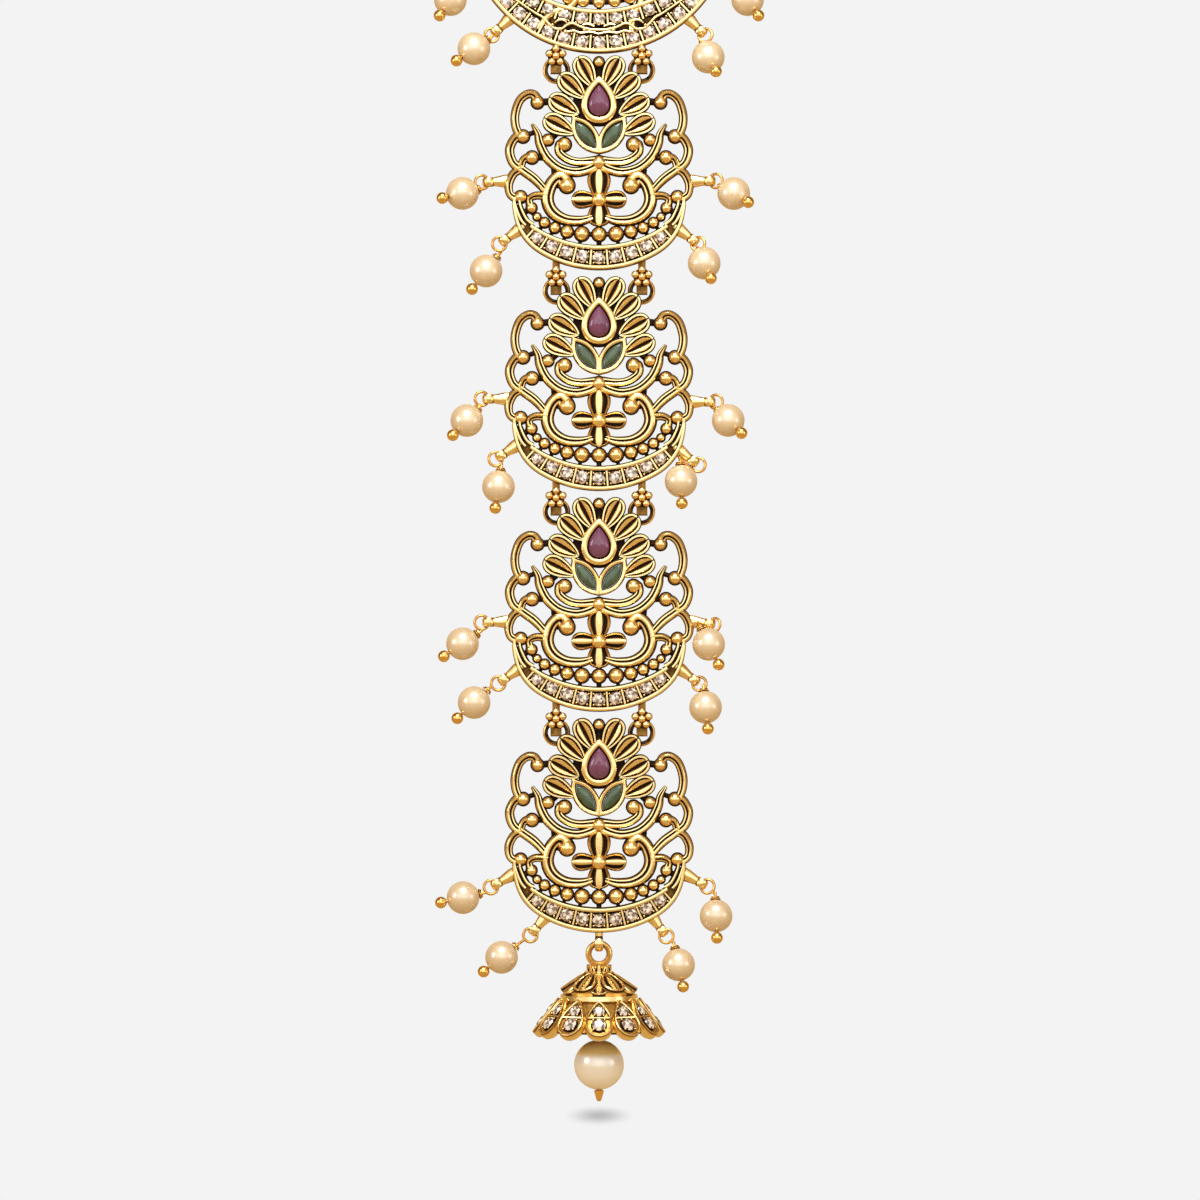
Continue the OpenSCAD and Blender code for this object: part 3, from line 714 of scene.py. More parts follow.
class Materials:
    """All materials of the ornament, one for each finish."""

    def __init__(self) -> None:
        """Builds the shared group and the materials."""
        self.patina_and_shade_group = self._patina_and_shade_group()
        self.gold = self._gold(Gold())
        self.wire = self._gold(Gold("gold_wire", (0.95, 0.64, 0.20), (0.62, 0.29, 0.06),
                                    polish=0.16, wear=0.12))
        self.pearl = self._pearl(Pearl())
        # The large pearl's golden top is a painted reflection of the bell above it
        self.large_pearl = self._pearl(Pearl("large_pearl", (1.0, 0.97, 0.87), crown=(1.0, 0.74, 0.27),
                                             crown_z=-0.2558))
        # Clear stones: light and dark are painted facet reflections
        self.clear = self._brilliant(Stone("clear_stone", (0.92, 0.82, 0.72), (0.05, 0.02, 0.012), 0.06))
        self.ruby = self._cabochon(Stone("ruby_stone", (0.20, 0.065, 0.135), (0.085, 0.018, 0.06), 0.12, 0.5))
        self.emerald = self._cabochon(Stone("emerald_stone", (0.07, 0.12, 0.06), (0.015, 0.035, 0.018),
                                            0.2, 0.8))

    @staticmethod
    def _start(name: str) -> tuple[bpy.types.Material, Nodes, bpy.types.Node]:
        """New material with its nodes and its Principled node."""
        material = bpy.data.materials.new(name)
        material.use_nodes = True
        tree = material.node_tree
        return material, Nodes(tree), next(n for n in tree.nodes if n.type == "BSDF_PRINCIPLED")

    @staticmethod
    def _patina_and_shade_group() -> bpy.types.NodeTree:
        """Group that turns the depth of patina and painted shade into colour, roughness, metal and height."""
        tree = bpy.data.node_groups.new("patina", "ShaderNodeTree")
        for way, kind, names in (("INPUT", "Float", ("Depth", "Wear", "Polish")),
                                 ("INPUT", "Color", ("Crest", "Slope", "Patina")),
                                 ("OUTPUT", "Color", ("Colour",)),
                                 ("OUTPUT", "Float", ("Roughness", "Metal", "Height"))):
            for name in names:
                tree.interface.new_socket(name, in_out=way, socket_type=f"NodeSocket{kind}")
        nodes = Nodes(tree)
        start, place = nodes.add("NodeGroupInput"), nodes.place()
        blotch, grain = nodes.noise(place, 900.0, 3.0), nodes.noise(place, 5200.0, 2.0)
        worn = nodes.maths("MULTIPLY", nodes.maths("SUBTRACT", blotch, 0.5), start["Wear"])
        mask = nodes.maths("ADD", start["Depth"], worn, use_clamp=True)
        # warm tints the slopes as painted shade; dark is patina in the grooves and painted shade on the
        # flanks and sides
        warm, dark = nodes.span(mask, 0.05, 0.55), nodes.span(mask, 0.42, 0.82)
        colour = nodes.mix(dark, nodes.mix(warm, start["Crest"], start["Slope"]), start["Patina"])
        nodes.add("NodeGroupOutput", {
            "Colour": colour, "Roughness": nodes.maths("MULTIPLY_ADD", mask, 0.35, start["Polish"]),
            "Metal": nodes.maths("MULTIPLY_ADD", dark, -0.9, 1.0),
            "Height": nodes.maths("ADD", grain, blotch)})
        return tree

    def _gold(self, finish: Gold) -> bpy.types.Material:
        """Material of a gold finish."""
        material, nodes, shader = self._start(finish.name)
        depth = nodes.add("ShaderNodeAttribute", attribute_name="recess")
        patina = nodes.add("ShaderNodeGroup", node_tree=self.patina_and_shade_group, inputs={
            "Depth": depth["Fac"], "Wear": finish.wear, "Polish": finish.polish,
            "Crest": linear(finish.crest), "Slope": linear(finish.slope), "Patina": linear(finish.patina)})
        bump = nodes.add("ShaderNodeBump", {
            "Height": patina["Height"], "Strength": 0.12, "Distance": 0.00005})
        nodes.feed(shader, {
            "Base Color": patina["Colour"], "Roughness": patina["Roughness"], "Metallic": patina["Metal"],
            "Normal": bump[0], "Specular IOR Level": 0.1})
        return material

    def _pearl(self, finish: Pearl) -> bpy.types.Material:
        """Material of a pearl finish: cloudy, with a painted reflection colour over the crown's height."""
        material, nodes, shader = self._start(finish.name)
        place = nodes.place()
        r, g, b = finish.base
        cloud = nodes.mix(nodes.noise(place, 260.0, 2.0), linear((r * 0.94, g * 0.92, b * 0.88)),
                          linear((min(r * 1.06, 1), min(g * 1.06, 1), b * 1.1)))
        # Painted reflection of the bell: the crown colour above crown_z
        height = nodes.add("ShaderNodeSeparateXYZ", {"Vector": place})["Z"]
        crown = nodes.span(height, finish.crown_z - 0.0004, finish.crown_z + 0.0004)
        nodes.feed(shader, {
            "Base Color": nodes.mix(crown, cloud, linear(finish.crown)), "Roughness": finish.polish,
            "Coat Weight": 1.0, "Coat IOR": 2.8, "Coat Roughness": 0.28})
        return material

    def _brilliant(self, finish: Stone) -> bpy.types.Material:
        """Material of a cut stone: each facet shows its own painted reflection, from dark to white."""
        material, nodes, shader = self._start(finish.name)
        tone = nodes.add("ShaderNodeAttribute", attribute_name="tone")["Fac"]
        nodes.feed(shader, {
            "Base Color": nodes.mix(tone, linear(finish.dark), linear(finish.light)),
            "Roughness": finish.polish, "IOR": 1.9})
        return material

    def _cabochon(self, finish: Stone) -> bpy.types.Material:
        """Material of a cloudy stone with streaks."""
        material, nodes, shader = self._start(finish.name)
        stretch = nodes.add("ShaderNodeMapping", {"Vector": nodes.place(), "Scale": (1.0, 1.0, 0.45)})
        streak = nodes.add("ShaderNodeTexNoise", {
            "Vector": stretch[0], "Scale": 650.0, "Detail": 4.0, "Roughness": 0.65})
        mask = nodes.add("ShaderNodeMapRange", {
            "Value": streak["Fac"], "From Min": 0.32, "From Max": 0.68, "To Min": 0.5 - finish.streak / 2,
            "To Max": 0.5 + finish.streak / 2})
        nodes.feed(shader, {
            "Base Color": nodes.mix(mask[0], linear(finish.dark), linear(finish.light)),
            "Roughness": finish.polish, "Coat Weight": 0.6, "Coat Roughness": 0.05})
        return material


def put(name: str, shape: Shape, finish: bpy.types.Material, matrix: Matrix, body: str,
        nodes: list[str], angle: float = SHARP) -> bpy.types.Object:
    """Makes a finished piece.

    Args:
        name: Name of the piece.
        shape: Its shape.
        finish: Its material.
        matrix: Placing matrix.
        body: CAD body that it rides on.
        nodes: CAD nodes that it stands for.
        angle: Edges sharper than this many degrees stay sharp.

    Returns:
        The piece.
    """
    piece = bpy.data.objects.new(name, shape.mesh(name, finish, matrix, angle))
    bpy.context.scene.collection.objects.link(piece)
    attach(piece, body)
    if nodes:
        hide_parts(*nodes)
    LOG.info("%s: %d faces", name, len(shape.faces))
    return piece


@dataclass
class Settings:
    """Round brilliant stones and the seats that hold them."""

    seed: int = 4
    # Rings of a stone's corners: number, first angle, share of the radius and height
    rings: tuple = ((8, 0, 0.56, 0.95), (8, 22.5, 0.8, 0.82), (16, 0, 1, 0.5), (16, 0, 1, 0.4),
                    (16, 0, 0.7, 0.0))

    def brilliant(self, r: float) -> Shape:
        """Stone with a table, crown facets and a flat foot.

        Args:
            r: Radius at the girdle.

        Returns:
            The stone, its foot at the origin.
        """
        dice = random.Random(self.seed)
        points = [[*on(360 / n * i + first, share * r), w]
                  for n, first, share, w in self.rings for i in range(n)]
        points.append([0, 0, self.rings[0][3]])
        faces = [(i, (i + 1) % 8, 64) for i in range(8)]
        # Each facet gets a random painted reflection, from dark to white; the sides and the foot stay dark
        facet_reflections = [dice.choice((0.15, 0.55, 0.85, 1.0)) for _ in range(8)]
        for i in range(8):
            k = (i + 1) % 8
            mid, side, low = 8 + i, 8 + (i - 1) % 8, 16 + 2 * i
            faces += [(i, mid, k), (i, side, low, mid), (mid, low, low + 1),
                      (mid, low + 1, 16 + (2 * i + 2) % 16)]
            facet_reflections += [dice.choice((0.0, 0.1, 0.6, 0.9, 1.0)) for _ in range(4)]
        for ring in (16, 32):
            for i in range(16):
                k = (i + 1) % 16
                faces.append((ring + i, ring + 16 + i, ring + 16 + k, ring + k))
                facet_reflections.append(0.1)
        faces.append(tuple(range(63, 47, -1)))
        facet_reflections.append(0.1)
        shape = Shape()
        shape.add(np.array(points), faces, 0.0, facet_reflections)
        return shape

    def seat(self, r: float) -> Shape:
        """Dark ring round a stone with four prongs.

        Args:
            r: Radius of the stone.

        Returns:
            The seat, its foot at the origin.
        """
        shape = lathe([(r + 0.02, 0.0), (r + 0.02, 0.5), (r + 0.1, 0.55), (r + 0.2, 0.42), (r + 0.28, 0.0)],
                      24, [1, 1, 0.85, 0.9, 1])
        prong = ball(0.24, 10, 6)
        for i in range(4):
            shape.join(prong, matrix_at((*on(90 * i + 45, r + 0.2), 0.55)))
        return shape


class Drop(NamedTuple):
    """One pearl drop: its peg, how its loop lies in the eyelet, its pearl, and how its pin points."""

    name: str
    foot_u: float
    foot_v: float
    peg_angle: float
    swing: float
    tilt: float
    u: float
    v: float
    w: float
    pin_angle: float
    pin_lean: float


@dataclass
class Drops:
    """Pearl drops: wire loops, pins, caps and drilled pearls."""

    pearl_r: float = 3.28
    loop_r: float = 1.4
    wire_r: float = 0.28
    tip_r: float = 1.2
    peg_reach: float = 3.5
    cap_t: float = 0.7
    cap_gap: float = 0.06
    tip_gap: float = 0.1
    bore: float = 0.42
    bend_gap: float = 0.45
    unevenness: float = 0.012

    def places(self, d: Drop) -> dict[str, np.ndarray]:
        """Points and directions of one drop.

        Args:
            d: The drop.

        Returns:
            Loop centre, loop directions, neck, bend, pearl and pin direction.
        """
        eye = np.array([d.foot_u, d.foot_v, MID_W]) + self.peg_reach * self.toward(d.peg_angle, 0)
        out = self.toward(d.peg_angle + d.swing, d.tilt)
        side = self.toward(d.peg_angle + d.swing + 90, 0)
        loop = eye + self.loop_r * out
        pin = self.toward(d.pin_angle, d.pin_lean)
        pearl = np.array([d.u, d.v, d.w])
        bend = pearl - (self.pearl_r + self.cap_gap + self.cap_t + self.bend_gap) * pin
        s = bend - loop
        q = unit(np.array([max(float(s @ out), 0.0), float(s @ side)]))
        neck = loop + self.loop_r * (q[0] * out + q[1] * side)
        return {"loop": loop, "out": out, "side": side, "neck": neck, "bend": bend, "pearl": pearl,
                "pin": pin}

    @staticmethod
    def toward(angle: float, lean: float) -> np.ndarray:
        """Direction at an angle in the panel and a lean towards the viewer, in degrees."""
        c = math.cos(math.radians(lean))
        return np.array([*on(angle, c), math.sin(math.radians(lean))])

    def pin(self, d: Drop) -> Shape:
        """Wire loop, pin, cap and ball tip of one drop.

        Args:
            d: The drop.

        Returns:
            The wirework.
        """
        p = self.places(d)
        turns = full_turn(32)
        ring = [p["loop"] + self.loop_r * (math.cos(a) * p["out"] + math.sin(a) * p["side"]) for a in turns]
        shape = tube(ring, self.wire_r, 0.35, 10, ring=True)
        tip = p["pearl"] + (self.pearl_r + self.tip_gap + self.tip_r) * p["pin"]
        path = [p["neck"], p["bend"] - 0.1 * p["pin"], p["bend"] + 0.3 * p["pin"], tip]
        shape.join(tube(smooth_path(np.array(path), 5), self.wire_r, 0.35, 10))
        foot = self.pearl_r + self.cap_gap
        rim = ((0.3, 0), (1.0, 0), (1.08, 0.1), (1.0, 0.28), (0.72, 0.34), (0.84, 0.42), (0.84, 0.6),
               (0.55, self.cap_t), (0.3, self.cap_t))
        # The cap darkens in its groove, round the wire and where it meets the pearl: patina and painted shade
        cap = lathe([(r, -foot - t) for r, t in rim], 24, [0.6, 0.5, 0.1, 0.3, 0.9, 0.2, 0.1, 0.3, 0.6])
        shape.join(cap, along(p["pearl"], p["pin"]))
        r = self.tip_r
        profile = [(0.0001, -r)] + [(r * (0.98 if a < 0 else 1) * math.cos(a), r * math.sin(a))
                                    for a in np.radians(np.arange(-75, 76, 15))] + [(0.0001, r)]
        # The ball tip darkens where it faces the pearl: painted shade
        head = lathe(profile, 20, [0.6, 0.5] + [0.12] * (len(profile) - 3) + [0.0])
        shape.join(head, along(tip, p["pin"]))
        return shape

    def pearl(self, r: float, seed: float) -> Shape:
        """Drilled pearl with a slightly uneven skin.

        Args:
            r: Radius.
            seed: Shifts the unevenness.

        Returns:
            The pearl round the origin, its drill hole along w.
        """
        rows = []
        for a in full_turn(48):
            arc = np.linspace(-math.pi / 2 + self.bore / r, math.pi / 2 - self.bore / r, 25)
            row = []
            for b in arc:
                swell = r + self.unevenness * (math.sin(3 * b + seed) * math.cos(2 * a + seed) - 1)
                row.append([swell * math.cos(b) * math.cos(a), swell * math.cos(b) * math.sin(a),
                            swell * math.sin(b)])
            rows.append(row)
        return loft(rows, 0.0, ring=True)


@dataclass
class Panel:
    """One openwork panel: crescent, scrolls, flower, petals, bezels, rings, hooks and pegs."""

    kit: Kit
    materials: Materials
    settings: Settings
    # Circles of the crescent, its sides and its row of stones: centre u, v and radius
    edge: tuple = (0.0, 8.8, 22.8)
    side: tuple = (0.0, 0.6, 17.5)
    inner: tuple = (0.0, 14.2, 23.4)
    row: tuple = (0.0, 8.8, 20.45)
    row_step: float = 9.2
    # Outer edge and inner edge: reach of the floor and of the rims in degrees, and the rims' insets
    floor_reach: tuple = (54, 41)
    rim_reach: tuple = (61, 35)
    rim_inset: tuple = (0.38, 0.45)
    # Half-widths: outer rim at its ends, its gain towards the middle, and inner rim
    rim_half: tuple = (0.27, 0.15, 0.44)
    stones: int = 9
    stone_r: float = 1.33
    ring_at: tuple = (8.5, 25.9)
    ring_r: float = 2.25
    ring_wire: float = 0.52
    hook_at: tuple = (8.6, 28.7)
    rosette_r: float = 1.42
    rosette_bead: float = 0.78
    # Height of a rosette's disc over the ring's wire, of its beads over the disc, and of the middle bead
    rosette_lift: tuple = (0.9, 0.15, 0.12)
    rosette_disc: tuple = ((0.001, -0.6), (1.7, -0.6), (1.7, -0.15), (1.4, 0), (0.001, 0))
    hook_foot: tuple = (2.2, 1.8, 2.4)
    # The hook's strap: its thickness, and corners of its section
    strap_t: float = 0.6
    strap: tuple = ((-0.75, -0.2), (-0.6, -0.3), (0.6, -0.3), (0.75, -0.2), (0.75, 0.2), (0.6, 0.3),
                    (-0.6, 0.3), (-0.75, 0.2))
    foot_corners: tuple = ((-1, -0.6), (-0.8, -1), (0.8, -1), (1, -0.6), (1, 0.6), (0.8, 1), (-0.8, 1),
                           (-1, 0.6))
    # Right-hand strokes: side of the groove, then rows of u, v and half-width
    scrolls: tuple = (
        (1, ((6.6, 3, 1.4), (7.3, 4.3, 1.2), (8.3, 4.4, 1.0), (9.6, 3, 0.98), (10.35, 0.6, 0.98),
             (9.95, -1.5, 0.98), (8.6, -3.15, 0.95), (6.4, -4.15, 0.85), (3.6, -4.25, 0.75),
             (1.3, -3.6, 0.5))),
        (1, ((10.3, 0.6, 0.6), (12.6, 0.8, 0.6), (14, 0, 0.55), (13.6, -1.7, 0.7))),
        (1, ((15.3, 6.1, 0.6), (17, 5.3, 0.65), (18.05, 3.2, 0.65), (17.8, 1.1, 0.6), (16.4, 0.2, 0.7),
             (15.7, 0.5, 0.9))),
        (1, ((15.2, 12.6, 0.9), (16.8, 12.3, 0.7), (17.9, 10, 0.7), (17.2, 7.4, 0.7), (15.2, 5.8, 0.7),
             (12.9, 4.1, 0.7), (10.8, 1.9, 0.6))),
        (1, ((13.4, 8.4, 0.9), (15, 8.1, 0.6), (15.7, 6.4, 0.6))),
        (1, ((12.3, 19.4, 0.9), (12.9, 20.9, 0.7), (14.3, 21.1, 0.65), (15.9, 19.8, 0.65), (16.8, 17.1, 0.65),
             (16.7, 14.7, 0.65), (15.9, 12.7, 0.65))),
        (-1, ((0, 7.2, 0.9), (1.9, 6.1, 0.75), (4.7, 5.5, 0.75), (7.9, 6.3, 0.75), (10.4, 8.4, 0.75),
              (11.8, 11.1, 0.7), (12.3, 13.2, 0.55), (13.4, 15.1, 0.25))),
        (-1, ((0.6, 7.7, 0.8), (3.8, 7.5, 0.65), (6.1, 8, 0.65), (7.9, 9.4, 0.65), (7.9, 11, 0.7),
              (6.9, 11, 0.9))),
    )
    # Low joints between strokes
    joints: tuple = (
        ((10.2, 11.9, 0.8), (8.4, 13.4, 0.7)), ((10.2, 11.9, 0.8), (11.9, 12.1, 0.6)),
        ((12.3, 19.4, 0.7), (9.6, 19.7, 0.7)), ((12.6, 13.6, 0.5), (15.2, 12.7, 0.5)),
        ((10.4, 8.4, 0.6), (13.4, 8.4, 0.6)), ((13.6, -1.7, 0.6), (15, -2.6, 0.6)),
        ((9.2, 7.2, 0.5), (9, 4.4, 0.5)),
    )
    # Beads: u, v and radius
    beads: tuple = ((6.4, 2.8, 1.45), (13.5, -1.7, 0.98), (15.7, 0.5, 1.15), (15.2, 12.6, 1.2),
                    (13.4, 8.4, 1.2), (12.3, 19.4, 1.15), (6.9, 11, 1.25), (10.2, 11.9, 1.05))
    # Bead row beside its middle bead, and the beads on the panel's middle line
    row_beads: tuple = ((3.42, -6.9, 1.34), (6.38, -6.45, 1.15), (8.85, -5.7, 1), (10.9, -4.65, 0.94),
                        (12.4, -3.5, 0.72))
    middle_beads: tuple = ((0, -7, 1.3), (0, 7.4, 1.25), (0, 27.5, 0.95), (0, 0, 1.5))
    # Low strokes: ends of the one under the bead row, those on the middle line, and the web under a petal
    row_ends: tuple = ((0, -7, 0.5), (13.6, -2.2, 0.6))
    web: tuple = (3.6, 0.9)
    stems: tuple = (((0, -4, 0.6), (0, -10, 0.5)), ((0, 27.6, 0.7), (0, 23.5, 0.9)))
    # Right-hand petals: u, v and direction, then length and width of them all
    petals: tuple = ((2.95, 26.1, 62), (5.9, 23.1, 43), (7.6, 19.1, 30), (8.6, 15.1, 27))
    petal_size: tuple = (5.4, 3.85)
    petal_neck: float = 0.75
    # Factor of the beads' radii, width of the foot's rim round a bead, and half section of a foot
    bead_gain: float = 1.08
    foot_rim: float = 0.22
    bead_foot: tuple = ((0.001, -1.7), (1, -1.7), (1, -0.95), (0.92, -0.85), (0.001, -0.85))
    # Petals of the middle flower: direction, length and half-width
    flower: tuple = ((90, 6.1, 2.2), (180, 5.5, 1.7), (0, 5.5, 1.7), (-90, 5.4, 2.2))
    ruby_c: tuple = (0.0, 19.0)
    ruby_r: float = 2.4
    ruby_tip: float = 3.95
    emerald_c: tuple = (2.65, 12.9)
    emerald_angle: float = 54
    emerald_len: float = 6.3
    ruby_band: float = 1.42
    emerald_band: float = 1.0
    stroke_gain: float = 1.12
    # Strips of the crescent's horn, from the first stone up to the scroll
    horn_strips: tuple = (
        ((14.7, -5.2, 0.3), (15.5, -4.3, 0.32), (16.2, -2.9, 0.34), (16.8, -1.1, 0.32), (17, 0, 0.3)),
        ((13.2, -5, 0.4), (14.4, -4.1, 0.3), (15.2, -2.7, 0.28), (15.75, -1.3, 0.26), (15.9, -0.2, 0.25)),
    )
    horn: tuple = ((14.4, -5, 1.0), (15.5, -3.3, 1.1), (16.3, -1, 0.9))
    emerald_w: float = 2.5
    # Domes of the set stones, from the foot up: share of the outline and height
    dome: tuple = ((1.0, PLATE_W + STONE_LIFT), (1.0, -0.1), (0.97, 0.15), (0.9, 0.42), (0.78, 0.66),
                   (0.62, 0.84), (0.42, 0.97), (0.2, 1.04))
    flat_dome: tuple = ((1.0, PLATE_W + STONE_LIFT), (1.0, -0.15), (0.93, 0.1), (0.8, 0.26), (0.5, 0.36),
                        (0.2, 0.39))
    # Disc behind the petals: its middle and its radius
    disc_at: tuple = (0, 19.8, 0)
    disc_r: float = 5.2
    # Eyelet that carries the bell, as peg takes it
    bell_eye: tuple = ((0, -13.2), -90, 3.1, 1.65, 1.6, 1.6, 1.0)

    @staticmethod
    def both(rows: list | tuple) -> list[list[float]]:
        """Rows and their mirror images in u."""
        return [list(r) for r in rows] + [[-r[0], *r[1:]] for r in rows]

    def strokes(self) -> list[np.ndarray]:
        """Paths of all scrolls, left and right, with their grooves on the right of the way along."""
        paths = []
        for side, rows in self.scrolls:
            fine = smooth_path(np.array(rows, float)) * [1, 1, self.stroke_gain]
            left = fine * [-1, 1, 1]
            paths += [fine, left[::-1]] if side > 0 else [fine[::-1], left]
        return paths

    def arc(self, circle: tuple, shift: float, reach: float, half: float) -> np.ndarray:
        """Path along a circle about straight down.

        Args:
            circle: Centre u, v and radius.
            shift: Added to the radius.
            reach: Angle on each side, in degrees.
            half: Half-width.

        Returns:
            Rows of u, v and half-width.
        """
        angles = np.linspace(-90 - reach, -90 + reach, ARC_POINTS)
        return np.array([[*(np.array(circle[:2]) + on(a, circle[2] + shift)), half] for a in angles])

    def lower_edge(self, inset: float, reach: float) -> np.ndarray:
        """Points of the crescent's outer edge, from left to right.

        Args:
            inset: Distance inside the edge.
            reach: Angle on each side of straight down about the stones' centre, in degrees.

        Returns:
            Rows of u and v.
        """
        drop, steps = self.edge[1] - self.side[1], 6
        angles = np.linspace(-90 - reach, -90 + reach, ARC_POINTS)
        across = -drop * np.sin(np.radians(angles))
        to_side = across + np.sqrt(across ** 2 - drop ** 2 + (self.side[2] - inset) ** 2)
        far = np.pad(np.minimum(self.edge[2] - inset, to_side), steps, mode="reflect", reflect_type="odd")
        soft = np.convolve(far, np.full(2 * steps + 1, 1 / (2 * steps + 1)), mode="valid")
        return np.array([np.array(self.edge[:2]) + on(a, r) for a, r in zip(angles, soft)])

    @staticmethod
    def petal(length: float, width: float, lines: list, rim: float) -> Shape:
        """Cast petal along u, its narrow end at the left.

        Args:
            length: Length.
            width: Width.
            lines: Share of the half-width, inset from the edge, height and depth of patina and painted shade
                of each line.
            rim: Inset that the shares start from.

        Returns:
            The petal, its back on w = BACK_W.
        """
        rows = []
        for theta in np.linspace(math.pi - 0.06, 0.06, 19):
            swell = math.sin(theta) * (1 + 0.35 * math.cos(theta))
            row = []
            for share, inset, w, _ in lines:
                less = inset if abs(share) == 1 else rim
                row.append([(length / 2 - less) * math.cos(theta), share * (width / 2 - less) * swell, w])
            rows.append(row)
        return loft(rows, [line[3] for line in lines])

    @staticmethod
    def ring_outline(points: np.ndarray, grow: float) -> np.ndarray:
        """Closed outline moved outwards by grow, with its points kept pointed.

        Args:
            points: Corners of the outline, anticlockwise.
            grow: Distance.

        Returns:
            The moved corners.
        """
        ahead, behind = np.roll(points, -1, 0), np.roll(points, 1, 0)
        moved = []
        for p, a, b in zip(points, ahead, behind):
            n1 = unit(np.array([a[1] - p[1], p[0] - a[0]]))
            n2 = unit(np.array([p[1] - b[1], b[0] - p[0]]))
            n = unit(n1 + n2)
            moved.append(p + n * grow / max(float(n @ n1), 0.6))
        return np.array(moved)

    def bezel(self, outline: np.ndarray, width: float, top: float) -> Shape:
        """Rounded metal band round a stone.

        Args:
            outline: The stone's outline, anticlockwise.
            width: Width of the band.
            top: Height of its crest.

        Returns:
            The band.
        """
        lines = [(0.04, BACK_W - 0.1, BACK_DEPTH), (0.04, top - 0.5, 1), (0.18, top - 0.3, 1),
                 (0.28, top - 0.06, 0.3), (0.4, top, 0), (width * 0.78, top - 0.02, 0),
                 (width * 0.94, top - 0.2, 0.2), (width, top - 0.5, 0.6), (width + 0.1, -0.9, 1),
                 (width + 0.1, BACK_W + 0.05, BACK_DEPTH)]
        rings = [self.ring_outline(outline, grow) for grow, _, _ in lines]
        rows = [[[*rings[j][i], lines[j][1]] for j in range(len(lines))] for i in range(len(outline))]
        return loft(rows, [line[2] for line in lines], ring=True)

    def ruby_outline(self) -> np.ndarray:
        """Outline of the ruby, anticlockwise."""
        return drop_outline(self.ruby_c, self.ruby_r, self.ruby_tip, 1.13, 48)

    def emerald_outline(self, side: int) -> np.ndarray:
        """Outline of one leaf stone, anticlockwise.

        Args:
            side: 1 for the right-hand one, -1 for the left.

        Returns:
            The corners.
        """
        h, w = self.emerald_len / 2, self.emerald_w / 2
        r = (h * h + w * w) / (2 * w)
        reach = math.degrees(math.asin(h / r))
        lower = [on(a, r) + [0, r - w] for a in np.linspace(-90 - reach, -90 + reach, 17)]
        upper = [on(a, r) - [0, r - w] for a in np.linspace(90 - reach, 90 + reach, 17)]
        rows = np.array(lower[:-1] + upper[:-1])
        c, s = on(self.emerald_angle, 1)
        rows = rows @ np.array([[c, s], [-s, c]]) + self.emerald_c
        return rows if side > 0 else rows[::-1] * [-1, 1]

    def cabochon(self, outline: np.ndarray, lines: list) -> Shape:
        """Domed stone.

        Args:
            outline: Its outline, anticlockwise.
            lines: Share of the outline about its middle and height of each line, from the foot up.

        Returns:
            The stone.
        """
        return self.cabochon_lines(outline, outline.mean(0), [(share, w, 0.0) for share, w in lines])

    @staticmethod
    def cabochon_lines(outline: np.ndarray, middle: np.ndarray, lines: list) -> Shape:
        """Solid of scaled outlines, closed at its foot and its top.

        Args:
            outline: Outline, anticlockwise.
            middle: Point that the outline shrinks to.
            lines: Share of the outline, height and depth of patina and painted shade of each line, from the
                foot up.

        Returns:
            The solid.
        """
        rows = [[[*(middle + (p - middle) * share), w] for share, w, _ in lines] for p in outline]
        n, m = len(outline), len(lines)
        points = np.array(rows).reshape(-1, 3)
        faces = []
        for i in range(n):
            k = (i + 1) % n
            faces += [(i * m + j, i * m + j + 1, k * m + j + 1, k * m + j) for j in range(m - 1)]
        faces.append(tuple(i * m + m - 1 for i in range(n)))
        faces.append(tuple(i * m for i in range(n - 1, -1, -1)))
        shape = Shape()
        shape.add(points, faces, np.tile([line[2] for line in lines], n))
        return shape

    @staticmethod
    def plate(outer: np.ndarray, inner: np.ndarray, low: float, high: float, recess: float) -> Shape:
        """Flat strip between two edges.

        Args:
            outer: Rows of u, v along one edge.
            inner: Rows of u, v along the other.
            low: Its back.
            high: Its front.
            recess: Depth of patina and painted shade on its front.

        Returns:
            The strip.
        """
        rows = [[[*a, low], [*a, high], [*b, high], [*b, low]] for a, b in zip(outer, inner)]
        return loft(rows, [BACK_DEPTH, recess, recess, BACK_DEPTH])

    def crescent(self) -> Shape:
        """Crescent with its two rims, the bars between the stones, and the seats."""
        gold = self.materials.gold
        inner = self.arc(self.inner, 0.3, self.floor_reach[1], 0.0)[:, :2]
        floor = self.plate(self.lower_edge(0.3, self.floor_reach[0]), inner, *FLOOR, 0.75)
        steps = np.arange(ARC_POINTS)
        taper = np.clip(np.minimum(steps, steps[::-1]) / 12, 0, 1)
        ends, gain, half = self.rim_half
        edge = self.lower_edge(self.rim_inset[0], self.rim_reach[0])
        rims = [np.column_stack([edge, ends + gain * taper]),
                self.arc(self.inner, self.rim_inset[1], self.rim_reach[1], half)]
        rims += mirrored([smooth_path(np.array(rows, float)) for rows in self.horn_strips])
        floor.join(self.kit.sweep(rims, Ridge.RIM, gold))
        floor.join(self.kit.sweep(mirrored([smooth_path(np.array(self.horn))]), Ridge.LOW, gold))
        bars = row_bars(self.row, row_angles(self.stones + 1, self.row_step), (-1.5, 0, 1.5), BAR_HALF)
        floor.join(self.kit.sweep(bars, Ridge.BAR, gold))
        angles = row_angles(self.stones, self.row_step)
        seat = self.settings.seat(self.stone_r)
        floor.join(self.kit.scatter(seat, row_spots(self.row, angles, PLATE_W, angles), gold))
        return floor

